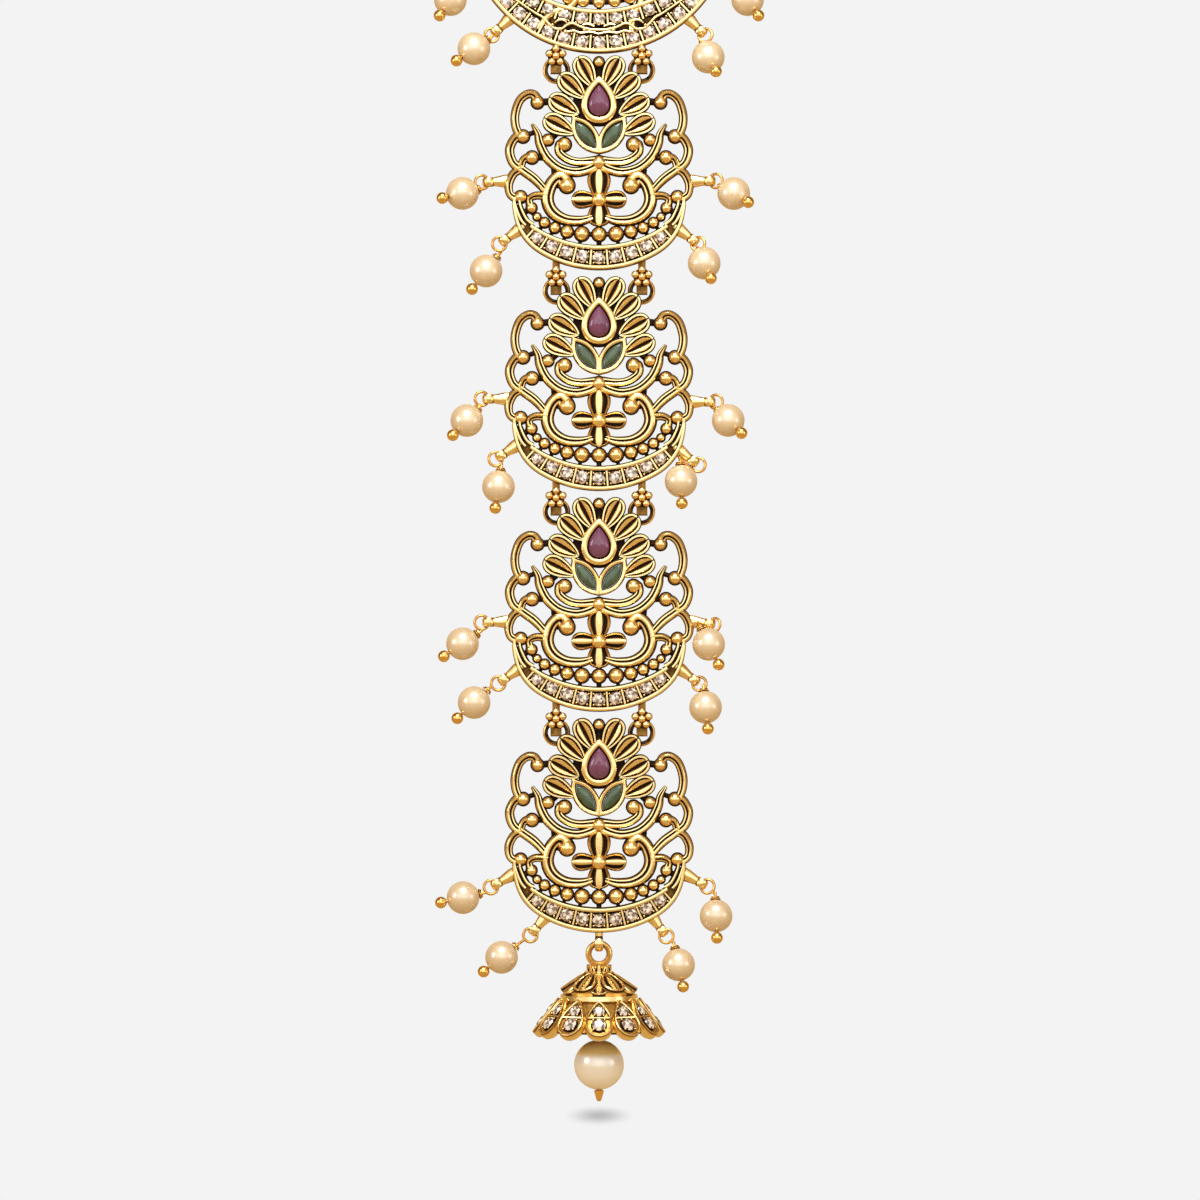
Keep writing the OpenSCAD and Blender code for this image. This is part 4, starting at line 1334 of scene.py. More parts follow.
    def peg(self, foot: tuple, angle: float, reach: float = 3.5, r: float = 1.25, w: float = 2.7,
            eye_w: float = 1.85, bore: float = 0.8) -> Shape:
        """Eyelet set edge-on at the rim.

        Args:
            foot: Its foot, u and v.
            angle: Its direction in degrees.
            reach: Distance from the foot to the middle of the bore.
            r: Outer radius of the eyelet.
            w: Width of the stub.
            eye_w: Width of the eyelet.
            bore: Radius of the bore.

        Returns:
            The peg.
        """
        corners = [on(a, 0.5) for a in range(-165, 166, 30)]
        rows = []
        for u, width in ((-1.2, w), (0.3, w), (reach - r * 1.05, eye_w * 1.02), (reach - r * 0.85, eye_w)):
            rows.append([[u, a * width, b * 1.6] for a, b in corners])
        # Painted shade: the stub darkens towards its back, the eyelet inside its bore
        shape = loft(rows, [0.75 if b < -0.2 else 0.45 if b < 0.2 else 0.05 for _, b in corners])
        half = eye_w / 2
        profile = [(bore, -half + 0.1), (bore, half - 0.1), (bore + 0.12, half), (r - 0.25, half),
                   (r, half - 0.35), (r, -half + 0.35), (r - 0.25, -half), (bore + 0.12, -half)]
        eye = lathe(profile, 32, [0.9, 0.9, 0.5, 0.3, 0.05, 0.05, 0.3, 0.5])
        shape.join(eye, quarter_turn((reach, 0, 0)))
        placed = Shape()
        placed.join(shape, matrix_at((*foot, MID_W), angle))
        return placed

    def hook(self, at: tuple, edge: float) -> Shape:
        """Strap behind the ring below, round its upper wire and up to a rosette of beads.

        Args:
            at: Middle of the rosette, u and v.
            edge: Height of the rim that carries the strap.

        Returns:
            The hook.
        """
        bar = at[1] - self.hook_at[1] + self.ring_at[1] + self.ring_r
        middle = self.ring_wire + 0.3 + self.strap_t / 2
        line = [[edge + 1.4, -middle], [bar, -middle]]
        bend = np.linspace(0, math.pi, 13)[1:-1]
        line += [[bar - middle * math.sin(t), -middle * math.cos(t)] for t in bend]
        line += [[bar, middle], [at[1] + 0.3, middle]]
        rows = []
        for i, (v, w) in enumerate(line):
            a, b = np.array(line[max(i - 1, 0)]), np.array(line[min(i + 1, len(line) - 1)])
            t = unit(b - a)
            n = np.array([-t[1], t[0]])
            rows.append([[at[0] + x, v + n[0] * y, MID_W + w + n[1] * y] for x, y in self.strap])
        # Strap and foot block are brown with patina and painted shade, as the shaded inside of the ring
        shape = loft(rows, 0.6)
        v = bar - middle - 0.1 - self.hook_foot[1] / 2
        half = [s / 2 for s in self.hook_foot]
        block = [[[at[0] + x, v + a * half[1], MID_W + b * half[2]] for a, b in self.foot_corners]
                 for x in (-half[0], half[0])]
        shape.join(loft(block, 0.72))
        return shape

    def hooks(self, at: tuple, edge: float) -> Shape:
        """Left and right hook with their rosettes.

        Args:
            at: Middle of the right-hand rosette, u and v.
            edge: Height of the rim that carries the straps.

        Returns:
            The hooks.
        """
        shape = self.hook((-at[0], at[1]), edge)
        shape.join(self.hook(at, edge))
        shape.join(self.rosettes([at, (-at[0], at[1])]))
        return shape

    def rosettes(self, middles: list) -> Shape:
        """Rosettes of six beads.

        Args:
            middles: Middle of each rosette, u and v.

        Returns:
            All rosettes.
        """
        lift, seat, crown = self.rosette_lift
        w = MID_W + self.ring_wire + lift + seat
        disc = lathe(self.rosette_disc, 24, DISC_DEPTHS)
        places, backs = [], Shape()
        for u, v in middles:
            places.append(spot(u, v, w + crown, size=self.rosette_bead))
            for i in range(5):
                q = on(90 + 72 * (i + 1), self.rosette_r)
                places.append(spot(u + q[0], v + q[1], w, size=self.rosette_bead))
            backs.join(disc, matrix_at((u, v, w - seat)))
        backs.join(self.kit.scatter(ball(1.0, 14, 8), places, self.materials.gold))
        return backs

    def low_joints(self) -> list[np.ndarray]:
        """Paths of the low joints between strokes, under the bead row, the crown and the petals."""
        joints = [np.array(rows, float) for rows in self.joints]
        first, last = self.row_ends
        row = [np.array([first, *((u, v, first[2]) for u, v, _ in self.row_beads), last])]
        row += [np.array([[u, v, 0.4], [u * 1.16, v - 2.4, 0.4]]) for u, v, r in self.row_beads if r > 0.9]
        length, half = self.web
        webs = [np.array([[u, v, half], [*(np.array([u, v]) - on(a, length)), half]])
                for u, v, a in self.petals]
        stems = [np.array(rows) for rows in self.stems]
        return mirrored(joints) + mirrored(row) + stems + mirrored(webs)

    def cast(self) -> Shape:
        """All cast metal that the four panels share."""
        gold = self.materials.gold
        shape = self.crescent()
        shape.join(self.kit.sweep(self.strokes(), Ridge.SCROLL, gold))
        shape.join(self.kit.sweep(self.low_joints(), Ridge.LOW, gold))
        beads = [*self.both(self.beads), *self.both(self.row_beads), *self.middle_beads]
        beads = [(u, v, r * self.bead_gain) for u, v, r in beads]
        spots = [spot(u, v, PLATE_W + BEAD_LIFT, size=r) for u, v, r in beads]
        shape.join(self.kit.scatter(ball(1.0), spots, gold))
        foot = lathe(self.bead_foot, 20, DISC_DEPTHS)
        feet = [((u, v, 0), (0, 0, 0), (r + self.foot_rim, r + self.foot_rim, 1)) for u, v, r in beads]
        shape.join(self.kit.scatter(foot, feet, gold))
        spots = []
        for u, v, a in self.petals:
            q = np.array([u, v]) - on(a, self.petal_neck)
            spots += [spot(*q, 0, a), spot(-q[0], q[1], 0, 180 - a)]
        length, width = self.petal_size
        petal = self.petal(length + 2 * self.petal_neck, width, LEAF, 0.5)
        shape.join(self.kit.scatter(petal, spots, gold))
        for a, length, half in self.flower:
            shape.join(self.petal(length, 2 * half, BLADE, 0.0), matrix_at((*on(a, length / 2), 0.0), a))
        shape.join(self.bezel(self.ruby_outline(), self.ruby_band, RIM_W + 0.1))
        for side in (1, -1):
            shape.join(self.bezel(self.emerald_outline(side), self.emerald_band, RIM_W - 0.05))
        disc = lathe([(0.001, BACK_W + 0.3), (self.disc_r, BACK_W + 0.35), (self.disc_r, -1.0),
                      (5.0, PLATE_W), (0.001, PLATE_W)], 40, DISC_DEPTHS)
        shape.join(disc, matrix_at(self.disc_at))
        for side in (-1, 1):
            ring = round_ring(self.ring_r, self.ring_wire, 0.8)
            shape.join(ring, matrix_at((side * self.ring_at[0], self.ring_at[1], MID_W)))
        return shape

    def build(self, k: int, shared: Shape, drops: tuple) -> None:
        """Makes the pieces of panel k.

        Args:
            k: Number of the panel, from 1.
            shared: Cast metal that all panels share.
            drops: The panel's drop table.
        """
        name, at = PLACES[k], upright(k)
        cast = Shape()
        cast.join(shared)
        for d in drops:
            cast.join(self.peg((d.foot_u, d.foot_v), d.peg_angle))
        if k < 4:
            spot_u = self.hook_at[0]
            edge = self.edge[1] - math.sqrt(self.edge[2] ** 2 - spot_u ** 2)
            cast.join(self.hooks((spot_u, self.hook_at[1] - PITCH), edge))
        else:
            cast.join(self.peg(*self.bell_eye))
        put(f"{name}_cast", cast, self.materials.gold, at, "ornament", [name])
        put(f"{name}_ruby_stone", self.cabochon(self.ruby_outline(), self.dome), self.materials.ruby, at,
            "ornament", [f"{name}_ruby"], STONE_SHARP)
        for side, word in ((1, "right"), (-1, "left")):
            put(f"{name}_emerald_{word}_stone", self.cabochon(self.emerald_outline(side), self.flat_dome),
                self.materials.emerald, at, "ornament", [f"{name}_emerald_{word}"],
                STONE_SHARP)
        angles = row_angles(self.stones, self.row_step)
        turns = [a + STONE_TURN * i for i, a in enumerate(angles)]
        spots = row_spots(self.row, angles, PLATE_W + STONE_LIFT, turns)
        stones = self.kit.scatter(self.settings.brilliant(self.stone_r), spots, self.materials.clear)
        put(f"{name}_brilliants", stones, self.materials.clear, at, "ornament",
            [f"{name}_stones"], 1)


@dataclass
class Head:
    """Head panel: two rows of stones, a bead row, and the plain upper part with its rings."""

    kit: Kit
    materials: Materials
    settings: Settings
    panel: Panel
    edge: tuple = (0.0, 0.0, 26.8)
    inner: tuple = (0.0, 6.9, 25.1)
    horns: tuple = (110, 95)
    # Rows of stones: circle, step in degrees and stone radius
    rows: tuple = (((0.0, 0.0, 24.8), 8.0, 1.36), ((0.0, 6.9, 26.95), 7.3, 1.3))
    stones: int = 13
    bead_row: tuple = (0.0, 6.9, 23.55)
    bead: float = 1.3
    bead_step: float = 7.6
    beads: int = 13
    spokes: int = 8
    band_r: float = 26.0
    flower_r: float = 5.0
    flower_petal: tuple = (5.8, 3.6)
    spoke: tuple = ((7, 0, 0.9), (12, 2.2, 0.8), (18, 1.6, 0.8), (21, -1.5, 0.8), (25, -3, 0.8))
    # Top rings: u, v, radius and wire
    top_ring: tuple = (6.0, 28.0, 1.9, 0.5)
    # Wavy line between the rows, right-hand half, and its small curls and beads
    waves: tuple = (
        ((18, -15.3, 0.22), (15, -17.4, 0.24), (12.6, -19.0, 0.26), (11.2, -19.8, 0.3), (10.2, -20.9, 0.3),
         (9, -21.9, 0.28), (7.6, -22.1, 0.28), (6.4, -21.3, 0.28), (5.2, -21.0, 0.28), (3.6, -21.7, 0.28),
         (1.8, -22.2, 0.28), (0, -22.3, 0.28)),
        ((8.9, -20.9, 0.2), (8, -20.3, 0.26), (6.9, -20.4, 0.24), (6.3, -21.2, 0.2)),
        ((6.4, -22.7, 0.24), (5, -22.5, 0.26), (3.6, -22.9, 0.24), (1.9, -22.7, 0.22), (0, -23.1, 0.2)),
        ((3.2, -21.3, 0.2), (2.2, -21.1, 0.24), (1, -21.6, 0.22)),
    )
    wave_beads: tuple = ((6.7, -22.6, 0.45), (2.9, -22.3, 0.42), (9.3, -21.3, 0.35))

    def crescent(self) -> Shape:
        """Crescent with its rims, cells, seats and the wavy line."""
        gold, panel = self.materials.gold, self.panel
        outer, inner = (panel.arc(c, s, reach, 0.0)[:, :2] for c, s, reach in
                        ((self.edge, -0.3, self.horns[0]), (self.inner, 0.3, self.horns[1])))
        shape = panel.plate(outer, inner, *FLOOR, 0.8)
        rims = [panel.arc(self.edge, -0.42, self.horns[0], 0.42),
                panel.arc(self.inner, 0.42, self.horns[1], 0.44)]
        rims += mirrored([smooth_path(np.array(rows, float)) for rows in self.waves])
        shape.join(self.kit.sweep(rims, Ridge.RIM, gold))
        bars = []
        for circle, step, _ in self.rows:
            bars += row_bars(circle, row_angles(self.stones + 1, step), (-1.45, 0, 1.45), BAR_HALF)
        shape.join(self.kit.sweep(bars, Ridge.BAR, gold))
        for circle, step, r in self.rows:
            angles = row_angles(self.stones, step)
            spots = row_spots(circle, angles, PLATE_W, angles)
            shape.join(self.kit.scatter(self.settings.seat(r), spots, gold))
        curls = [spot(u, v, RIM_W - 0.1, size=r) for u, v, r in panel.both(self.wave_beads)]
        shape.join(self.kit.scatter(ball(1.0, 12, 6), curls, gold))
        return shape

    def upper_part(self) -> Shape:
        """Bead row, band, spokes and flower, most of them hidden in the photo."""
        gold, panel = self.materials.gold, self.panel
        low = [panel.arc(self.bead_row, 0, 50, 0.5)]
        low += row_bars(self.bead_row, row_angles(7, 2 * self.bead_step), (-0.5, 2.2), 0.45)
        angles = row_angles(self.beads, self.bead_step)
        spots = row_spots(self.bead_row, angles, PLATE_W + BEAD_LIFT, [0] * self.beads, self.bead)
        spots.append(spot(0, 0, RELIEF_W - 0.4, size=2))
        shape = self.kit.scatter(ball(1.0), spots, gold)
        band = [np.array([[*on(a, self.band_r), 0.72] for a in np.linspace(15, 165, 61)])]
        turns = [i * 360 / self.spokes + 22.5 for i in range(self.spokes)]
        fine = smooth_path(np.array(self.spoke, float))
        for a in turns:
            x, y = on(a, 1)
            band.append(np.column_stack([fine[:, :2] @ np.array([[x, y], [-y, x]]), fine[:, 2]]))
        shape.join(self.kit.sweep(band, Ridge.ROUND, gold))
        shape.join(self.kit.sweep(low, Ridge.LOW, gold))
        spots = [((*on(a, self.flower_r), 0), (0, 0, a), (1.2, 1.1, 1)) for a in turns]
        shape.join(self.kit.scatter(panel.petal(*self.flower_petal, BLADE, 0.0), spots, gold))
        return shape

    def build(self) -> None:
        """Makes the head panel's pieces."""
        gold, panel, at = self.materials.gold, self.panel, upright(0)
        cast = self.crescent()
        cast.join(self.upper_part())
        x, y, r, wire = self.top_ring
        for side in (-1, 1):
            cast.join(round_ring(r, wire), matrix_at((side * x, y, MID_W)))
        u = panel.hook_at[0]
        cast.join(panel.hooks((u, panel.hook_at[1] - HEAD_TO_FIRST), -math.sqrt(self.edge[2] ** 2 - u ** 2)))
        for d in HEAD_DROPS:
            cast.join(panel.peg((d.foot_u, d.foot_v), d.peg_angle))
        put("head_cast", cast, gold, at, "ornament", ["head_panel"])
        turns = [STONE_TURN * i for i in range(self.stones)]
        for (circle, step, r), word in zip(self.rows, ("outer", "inner")):
            spots = row_spots(circle, row_angles(self.stones, step), PLATE_W + STONE_LIFT, turns)
            stones = self.kit.scatter(self.settings.brilliant(r), spots, self.materials.clear)
            put(f"head_{word}_brilliants", stones, self.materials.clear, at, "ornament",
                [f"head_{word}_stones"], 1)


@dataclass
class Bell:
    """Bell under the last panel: ring, collar, leaves, dome, petal skirt, and the large pearl on its pin."""

    materials: Materials
    settings: Settings
    panel: Panel
    drops: Drops
    # Height of the ring's middle, and ring radius and wire
    top: float = -218.4 - 17.34
    ring: tuple = (2.1, 0.62)
    petals: int = 12
    petal_c: tuple = (0.0, -2.1)
    petal_r: float = 3.05
    petal_tip: float = 5.9
    tilt: float = 53.13
    skirt_at: tuple = (0.0, -9.5, -12.2)
    # Stones of a petal: v and radius
    seats: tuple = ((-2.3, 1.4), (0.9, 1.15))
    # Carved leaves of one pattern: place, lean in degrees and size; the dome's are short and long by turns
    leaves: int = 12
    leaf: tuple = (5.6, 3.3)
    dome_leaves: tuple = (((6.35, 0, -6.4), 42, (0.66, 1.0, 0.4, 1)),
                          ((5.25, 0, -5.15), 34, (1.1, 1.4, 0.42, 1)))
    collar_leaves: int = 8
    collar_leaf: tuple = ((2.5, 0, -3.05), 90, (0.33, 0.62, 0.26, 1))
    pearl_r: float = 5.0
    pearl_z: float = -22.2
    # Inner eyelet: height, radius and wire
    eye: tuple = (-5.4, 1.05, 0.32)
    # Lines of a petal: share of its outline, height and depth of patina and painted shade
    dish_lines: tuple = (
        (0.35, -1.4, 1), (0.82, -1.25, 0.25), (0.98, -0.8, 0.0), (1.02, -0.2, 0.0), (1.0, 0.4, 0.1),
        (0.96, 0.75, 0.7), (0.97, 0.85, 0.85), (0.96, 1.08, 0.05), (0.92, 1.12, 0.0), (0.86, 1.0, 0.25),
        (0.84, 0.75, 0.7), (0.8, 0.5, 0.6), (0.3, 0.48, 0.4))
    bar: tuple = ((-0.2, 0.4), (-0.16, 1.0), (0, 1.08), (0.16, 1.0), (0.2, 0.4))
    # Half section of collar, dome, band and cone: radius, height and depth of patina and painted shade
    profile: tuple = (
        (0.001, -2.1, 0.7), (1.6, -2.0, 0.6), (2.2, -2.25, 0.2), (2.55, -2.5, 0.1), (2.35, -2.8, 0.8),
        (2.3, -3.4, 0.9), (2.75, -3.65, 0.1), (2.7, -3.9, 0.2), (3.0, -4.2, 0.5), (5.2, -5.7, 0.5),
        (7.0, -7.35, 0.3), (7.3, -7.6, 0.1), (7.15, -7.9, 0.3), (7.7, -8.2, 0), (7.75, -9.1, 0),
        (7.2, -9.5, 0.7), (11.5, -15.1, 0.64), (11.2, -15.5, 1), (6.3, -9.2, 0.7), (6.2, -7.5, 0.6),
        (4.3, -5.9, 0.6), (2.0, -4.1, 0.6), (0.001, -4.1, 0.6))

    def place(self) -> Matrix:
        """Matrix that hangs the bell's millimetres at its place."""
        return Matrix.Scale(0.001, 4) @ Matrix.Translation((0, -MID_W, self.top))

    def on_skirt(self, i: int) -> Matrix:
        """Matrix of petal i, its face along w."""
        turn = Matrix.Rotation(math.radians(i * 360 / self.petals), 4, "Z")
        return turn @ Matrix.Translation(self.skirt_at) @ Matrix.Rotation(math.radians(self.tilt), 4, "X")

    def outline(self) -> np.ndarray:
        """Outline of a petal, anticlockwise, its point up."""
        return drop_outline(self.petal_c, self.petal_r, self.petal_tip, 1.15, 40)

    def dish(self) -> Shape:
        """Petal with a raised rim, a cross bar, a sunk floor and a thick round wall."""
        shape = self.panel.cabochon_lines(self.outline(), np.array(self.petal_c), self.dish_lines)
        rows = [[[u, -0.62 + v, w] for v, w in self.bar] for u in np.linspace(-2.1, 2.1, 5)]
        shape.join(loft(rows, [1, 0.2, 0, 0.2, 1]))
        for v, r in self.seats:
            shape.join(self.settings.seat(r), matrix_at((0, v, 0.42)))
        return shape

    def body(self) -> Shape:
        """Ring, collar, dome, band and the cone behind the petals."""
        shape = Shape()
        shape.join(round_ring(*self.ring, inside=0.6), quarter_turn((0, 0, 0)))
        shape.join(lathe([p[:2] for p in self.profile], 72, [p[2] for p in self.profile]))
        shape.join(round_ring(*self.eye[1:]), quarter_turn((0, 0, self.eye[0]), "Y"))
        return shape

    def cone_leaves(self) -> Shape:
        """Long leaves over the dome and the small carved leaves of the collar."""
        leaf = self.panel.petal(*self.leaf, BLADE, 0.0)
        front = Matrix.Rotation(-math.pi / 2, 4, "Z")
        rows = [(360 * i / self.leaves, *self.dome_leaves[i % 2]) for i in range(self.leaves)]
        rows += [(360 * i / self.collar_leaves, *self.collar_leaf) for i in range(self.collar_leaves)]
        shape = Shape()
        for angle, at, lean, size in rows:
            turn = Matrix.Rotation(math.radians(angle), 4, "Z")
            tilt = Matrix.Rotation(math.radians(lean), 4, "Y")
            shape.join(leaf, np.array(front @ turn @ Matrix.Translation(at) @ tilt @ Matrix.Diagonal(size)))
        return shape

    def build(self) -> None:
        """Makes the bell's pieces."""
        at, gold = self.place(), self.materials.gold
        cast = self.body()
        cast.join(self.cone_leaves())
        dish = self.dish()
        stones = Shape()
        for i in range(self.petals):
            spot = np.array(self.on_skirt(i))
            cast.join(dish, spot)
            for v, r in self.seats:
                stones.join(self.settings.brilliant(r), spot @ matrix_at(np.array([0, v, 0.47])))
        put("bell_cast", cast, gold, at, "bell_drop", ["bell"])
        put("bell_brilliants", stones, self.materials.clear, at, "bell_drop",
            ["bell_stones"], 1)
        z, r, wire = self.eye
        loop_z = z - 2 * r + 2 * wire + 0.15
        foot = self.pearl_z - self.pearl_r
        pin_r = self.drops.wire_r
        pin = Shape()
        pin.join(round_ring(r, pin_r), quarter_turn((0, 0, loop_z)))
        pin.join(tube([(0, 0, loop_z - r), (0, 0, -12.0), (0, 0, foot - 1.5)], pin_r, 0.3))
        # The pin's tip darkens where it meets the large pearl and at its point: patina and painted shade
        tip = [(0.001, foot - 2.35), (0.3, foot - 2.3), (0.5, foot - 2.05), (0.75, foot - 1.2),
               (0.95, foot - 0.5), (0.98, foot - 0.2), (0.8, foot - 0.05), (0.001, foot - 0.05)]
        pin.join(lathe(tip, 20, [0.5, 0.3, 0.1, 0.05, 0.05, 0.1, 0.5, 0.8]))
        put("bell_wirework", pin, self.materials.wire, at, "bell_drop", ["bell_pin"])
        pearl = Shape()
        pearl.join(self.drops.pearl(self.pearl_r, 2.2), matrix_at((0, 0, self.pearl_z)))
        put("bell_large_pearl", pearl, self.materials.large_pearl, at, "bell_drop",
            ["bell_pearl"])


def build_hair_pin(materials: Materials) -> None:
    """Makes the plain U-shaped hair pin.

    Args:
        materials: All materials.
    """
    x, length, bend, r = 6.0, 28.0, 1.2, 0.6
    corner = [on(a, bend) for a in np.linspace(-90, 0, 9)]
    side = [[x - bend + q[0], bend + q[1], 0] for q in corner] + [[x, length, 0]]
    path = [[-p[0], p[1], 0] for p in side[::-1]] + side
    shape = tube(np.array(path), r, 0.3, 14)
    for u in (-x, x):
        shape.join(ball(r, 14, 8), matrix_at((u, length, 0)))
    for end in (-1, -2):
        shape.recess[end] = np.full(len(shape.recess[end]), 0.3)
    put("plain_pin", shape, materials.wire, Matrix.Scale(0.001, 4), "ornament", ["hair_pin"])


@dataclass
class Stage:
    """Camera, lights, sky and the pale surroundings."""

    aim: tuple = (0.0002, 0.0, -0.1649)
    distance: float = 1.3333
    lens: float = 200
    sensor: float = 36
    grey: float = 0.896
    bounce: tuple = (0.62, 0.40, 0.17)
    # Cyclorama: height of the floor, depth of the front and back edges, radius of the bend, half-width, top
    floor: float = -0.268
    front: float = -6.2
    back: float = 5.0
    bend: float = 1.56
    half: float = 7.8
    top: float = 6.6
    # Shadow under the tip: half-sizes along x, y and z
    shadow: tuple = (0.0076, 0.029, 0.02)
    # Colours of the tent from the sides to the camera, and its lamps: name, place, size and power
    stops: tuple = ((0.0, (0.22, 0.12, 0.05)), (0.26, (0.45, 0.29, 0.14)), (0.5, (0.83, 0.66, 0.45)),
                    (0.85, (1.2, 1.14, 1.04)), (0.93, (1.9, 1.9, 1.85)), (0.9985, (1.7, 1.7, 1.65)))
    lamps: tuple = (("top", (0.0, -0.4, 0.4), 0.35, 4.0), ("left", (-0.7, -0.35, 0.0), 0.3, 1.1),
                    ("right", (0.7, -0.35, -0.1), 0.3, 0.5))

    def build(self) -> None:
        """Sets up the shot."""
        self.camera()
        self.cyclorama()
        self.sky()
        self.lights()
        bpy.context.scene.view_settings.view_transform = "Standard"

    def camera(self) -> None:
        """Level camera in front of the ornament with a 240 mm wide view at its plane."""
        data = bpy.data.cameras.new("camera")
        data.lens, data.sensor_width = self.lens, self.sensor
        data.clip_start, data.clip_end = 0.01, 20
        camera = bpy.data.objects.new("camera", data)
        camera.location = (self.aim[0], -self.distance, self.aim[2])
        camera.rotation_euler = (math.pi / 2, 0, 0)
        bpy.context.scene.collection.objects.link(camera)
        bpy.context.scene.camera = camera

    def cyclorama(self) -> None:
        """Pale floor that curves up into a wall, glowing evenly under a soft shadow."""
        r = self.bend
        line = [(y, self.floor) for y in (self.front, -0.6, 0.0, 0.6)]
        line += [(self.back - r + r * math.sin(t), self.floor + r - r * math.cos(t))
                 for t in np.linspace(0, math.pi / 2, 13)]
        line.append((self.back, self.top))
        points = [(x, y, z) for x in (-self.half, self.half) for y, z in line]
        n = len(line)
        mesh = bpy.data.meshes.new("cyclorama")
        mesh.from_pydata(points, [], [(j, j + 1, n + j + 1, n + j) for j in range(n - 1)])
        material = bpy.data.materials.new("pale_paper")
        material.use_nodes = True
        material.node_tree.nodes.clear()
        nodes = Nodes(material.node_tree)
        # Painted shadow: a soft dark spot in the glow under the tip
        centre = nodes.add("ShaderNodeMapping", {
            "Vector": nodes.place(), "Location": (0.0, 0.0, -self.floor / self.shadow[2]),
            "Scale": tuple(1 / s for s in self.shadow)})
        painted_shadow = nodes.add("ShaderNodeTexGradient", {"Vector": centre[0]}, gradient_type="SPHERICAL")["Fac"]
        soft = nodes.add("ShaderNodeMapRange", {"Value": painted_shadow, "To Min": self.grey, "To Max": 0.5},
                         interpolation_type="SMOOTHSTEP")
        # For all but camera rays it glows in the warm bounce colour, a painted bounce light
        seen = nodes.add("ShaderNodeLightPath")["Is Camera Ray"]
        glow = nodes.add("ShaderNodeEmission", {"Color": nodes.mix(seen, linear(self.bounce), soft[0])})
        nodes.add("ShaderNodeOutputMaterial", {"Surface": glow[0]})
        mesh.materials.append(material)
        floor_piece = bpy.data.objects.new("cyclorama", mesh)
        bpy.context.scene.collection.objects.link(floor_piece)

    def sky(self) -> None:
        """Light tent: bright round the camera, darker to the sides."""
        world = bpy.data.worlds.new("tent")
        bpy.context.scene.world = world
        world.use_nodes = True
        world.node_tree.nodes.clear()
        nodes = Nodes(world.node_tree)
        place = nodes.add("ShaderNodeTexCoord")["Generated"]
        front = nodes.maths("MULTIPLY", nodes.add("ShaderNodeSeparateXYZ", {"Vector": place})["Y"], -1.0)
        ramp = nodes.tree.nodes.new("ShaderNodeValToRGB")
        nodes.feed(ramp, {"Fac": front})
        first, last = ramp.color_ramp.elements
        (first.position, first.color), (last.position, last.color) = (
            (at, linear(colour)) for at, colour in (self.stops[0], self.stops[-1]))
        for at, colour in self.stops[1:-1]:
            ramp.color_ramp.elements.new(at).color = linear(colour)
        seen = nodes.add("ShaderNodeLightPath")["Is Camera Ray"]
        colour = nodes.mix(seen, ramp.outputs["Color"], linear((self.grey,) * 3))
        light = nodes.add("ShaderNodeBackground", {"Color": colour, "Strength": 1.0})
        nodes.add("ShaderNodeOutputWorld", {"Surface": light[0]})

    def lights(self) -> None:
        """Soft boxes above and to the sides."""
        for name, at, size, power in self.lamps:
            data = bpy.data.lights.new(name, "AREA")
            data.shape, data.size, data.energy = "DISK", size, power
            lamp = bpy.data.objects.new(name, data)
            lamp.location = at
            aim = Vector((0, 0, LIGHT_AIM_Z)) - Vector(at)
            lamp.rotation_euler = aim.to_track_quat("-Z", "Y").to_euler()
            bpy.context.scene.collection.objects.link(lamp)


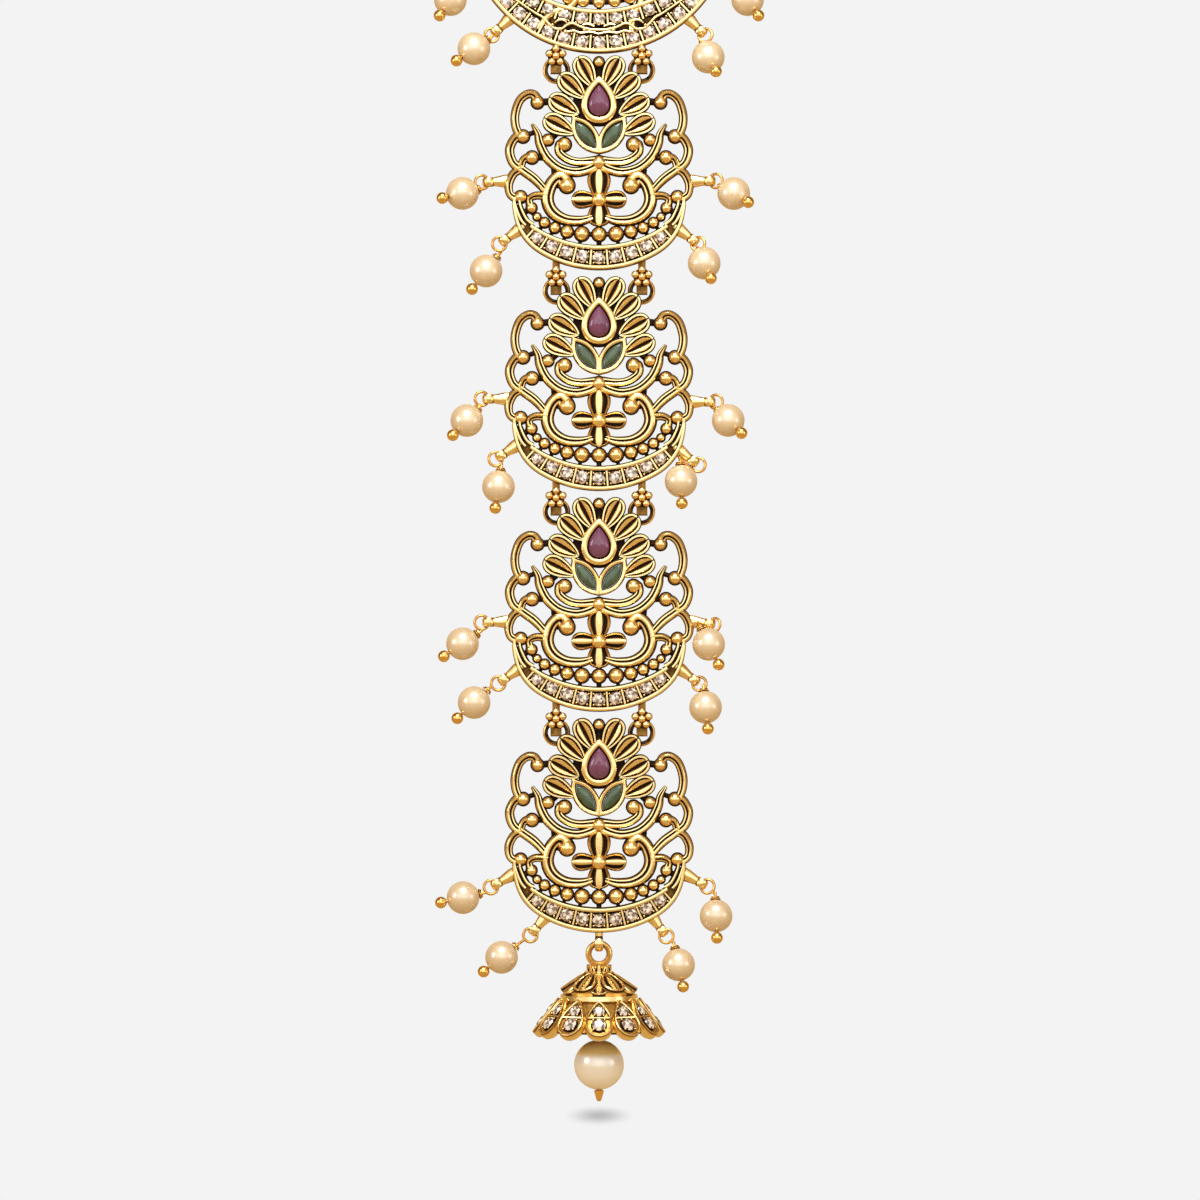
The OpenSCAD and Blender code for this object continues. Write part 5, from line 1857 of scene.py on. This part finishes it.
# Drops of the head panel and of the four panels, as the photo shows them
HEAD_DROPS = (
    Drop("left_upper", -25.2, -9.2, -150, 0, 15, -29.7, -16.3, 0.8, -122, 30),
    Drop("left_lower", -17.9, -19.9, -137, 0, 10, -25.0, -26.1, 0.5, -144, 22),
    Drop("right_lower", 17.9, -19.9, -45, 0, 22, 21.8, -27.9, 2.1, -64, 42),
    Drop("right_upper", 25.2, -9.2, -30, 0, 15, 29.7, -16.3, 0.8, -58, 30),
)
PANEL_DROPS = (
    (
        Drop("left_upper", -18.6, 3.7, -177, 0, 15, -27.3, 1.1, 1.1, -165, 27),
        Drop("left_lower", -16.0, -6.0, -144, 0, 3, -22.6, -14.3, -1.4, -128, 3),
        Drop("right_lower", 16.0, -6.0, -37, 0, 22, 21.0, -12.9, 2.1, -68, 42),
        Drop("right_upper", 18.6, 3.7, 0, 0, 22, 26.9, 1.0, 2.2, -34, 42),
    ),
    (
        Drop("left_upper", -18.6, 4.3, 180, 0, 14, -26.4, -0.1, 1.0, -133, 28),
        Drop("left_lower", -16.6, -5.1, -147, 0, 10, -20.1, -13.3, 0.2, -98, 20),
        Drop("right_lower", 16.0, -6.0, -37, 0, 10, 16.4, -12.2, 0.4, -88, 15),
        Drop("right_upper", 18.6, 3.7, 0, 0, 20, 25.8, -0.1, 1.8, -45, 37),
    ),
    (
        Drop("left_upper", -18.6, 3.9, -178, 0, 6, -27.3, -0.5, -0.4, -146, 12),
        Drop("left_lower", -16.2, -5.6, -144, 0, 3, -25.0, -12.3, -1.1, -137, 4),
        Drop("right_lower", 16.2, -5.6, -37, 0, 11, 21.3, -13.2, 0.6, -84, 22),
        Drop("right_upper", 18.6, 3.9, -6, -12, 40, 21.9, -0.6, 2.0, -64, 12),
    ),
    (
        Drop("left_upper", -17.4, -2.6, -150, 0, 6, -27.2, -7.1, -0.3, -168, 12),
        Drop("left_lower", -10.6, -10.9, -130, 0, 3, -19.5, -19.1, -1.4, -142, 3),
        Drop("right_lower", 10.6, -10.9, -54, 0, 9, 15.9, -20.5, 0.4, -78, 18),
        Drop("right_upper", 17.4, -2.6, -28, 0, 10, 23.4, -10.7, 0.6, -88, 20),
    ),
)


def build_drops(drops: Drops, materials: Materials) -> None:
    """Makes the wirework and the pearls of every place.

    Args:
        drops: The drops' sizes.
        materials: All materials.
    """
    for k, table in enumerate((HEAD_DROPS, *PANEL_DROPS)):
        wires = Shape()
        for i, d in enumerate(table):
            wires.join(drops.pin(d))
            p = drops.places(d)
            pearl = Shape()
            pearl.join(drops.pearl(drops.pearl_r, k + 1.7 * i), along(p["pearl"], p["pin"]))
            put(f"{PLACES[k]}_{d.name}_pearl", pearl, materials.pearl, upright(k), "ornament",
                [f"{PLACES[k]}_pearl_{d.name}"])
        put(f"{PLACES[k]}_wirework", wires, materials.wire, upright(k), "ornament",
            [f"{PLACES[k]}_pins"])


def main() -> None:
    """Builds the whole scene."""
    logging.basicConfig(level=logging.INFO, format="%(name)s %(message)s")
    Stage().build()
    kit, materials = Kit(), Materials()
    settings = Settings()
    panel = Panel(kit, materials, settings)
    shared = panel.cast()
    for k, table in enumerate(PANEL_DROPS, 1):
        panel.build(k, shared, table)
    drops = Drops()
    build_drops(drops, materials)
    Head(kit, materials, settings, panel).build()
    Bell(materials, settings, panel, drops).build()
    build_hair_pin(materials)


if __name__ == "__main__":
    main()
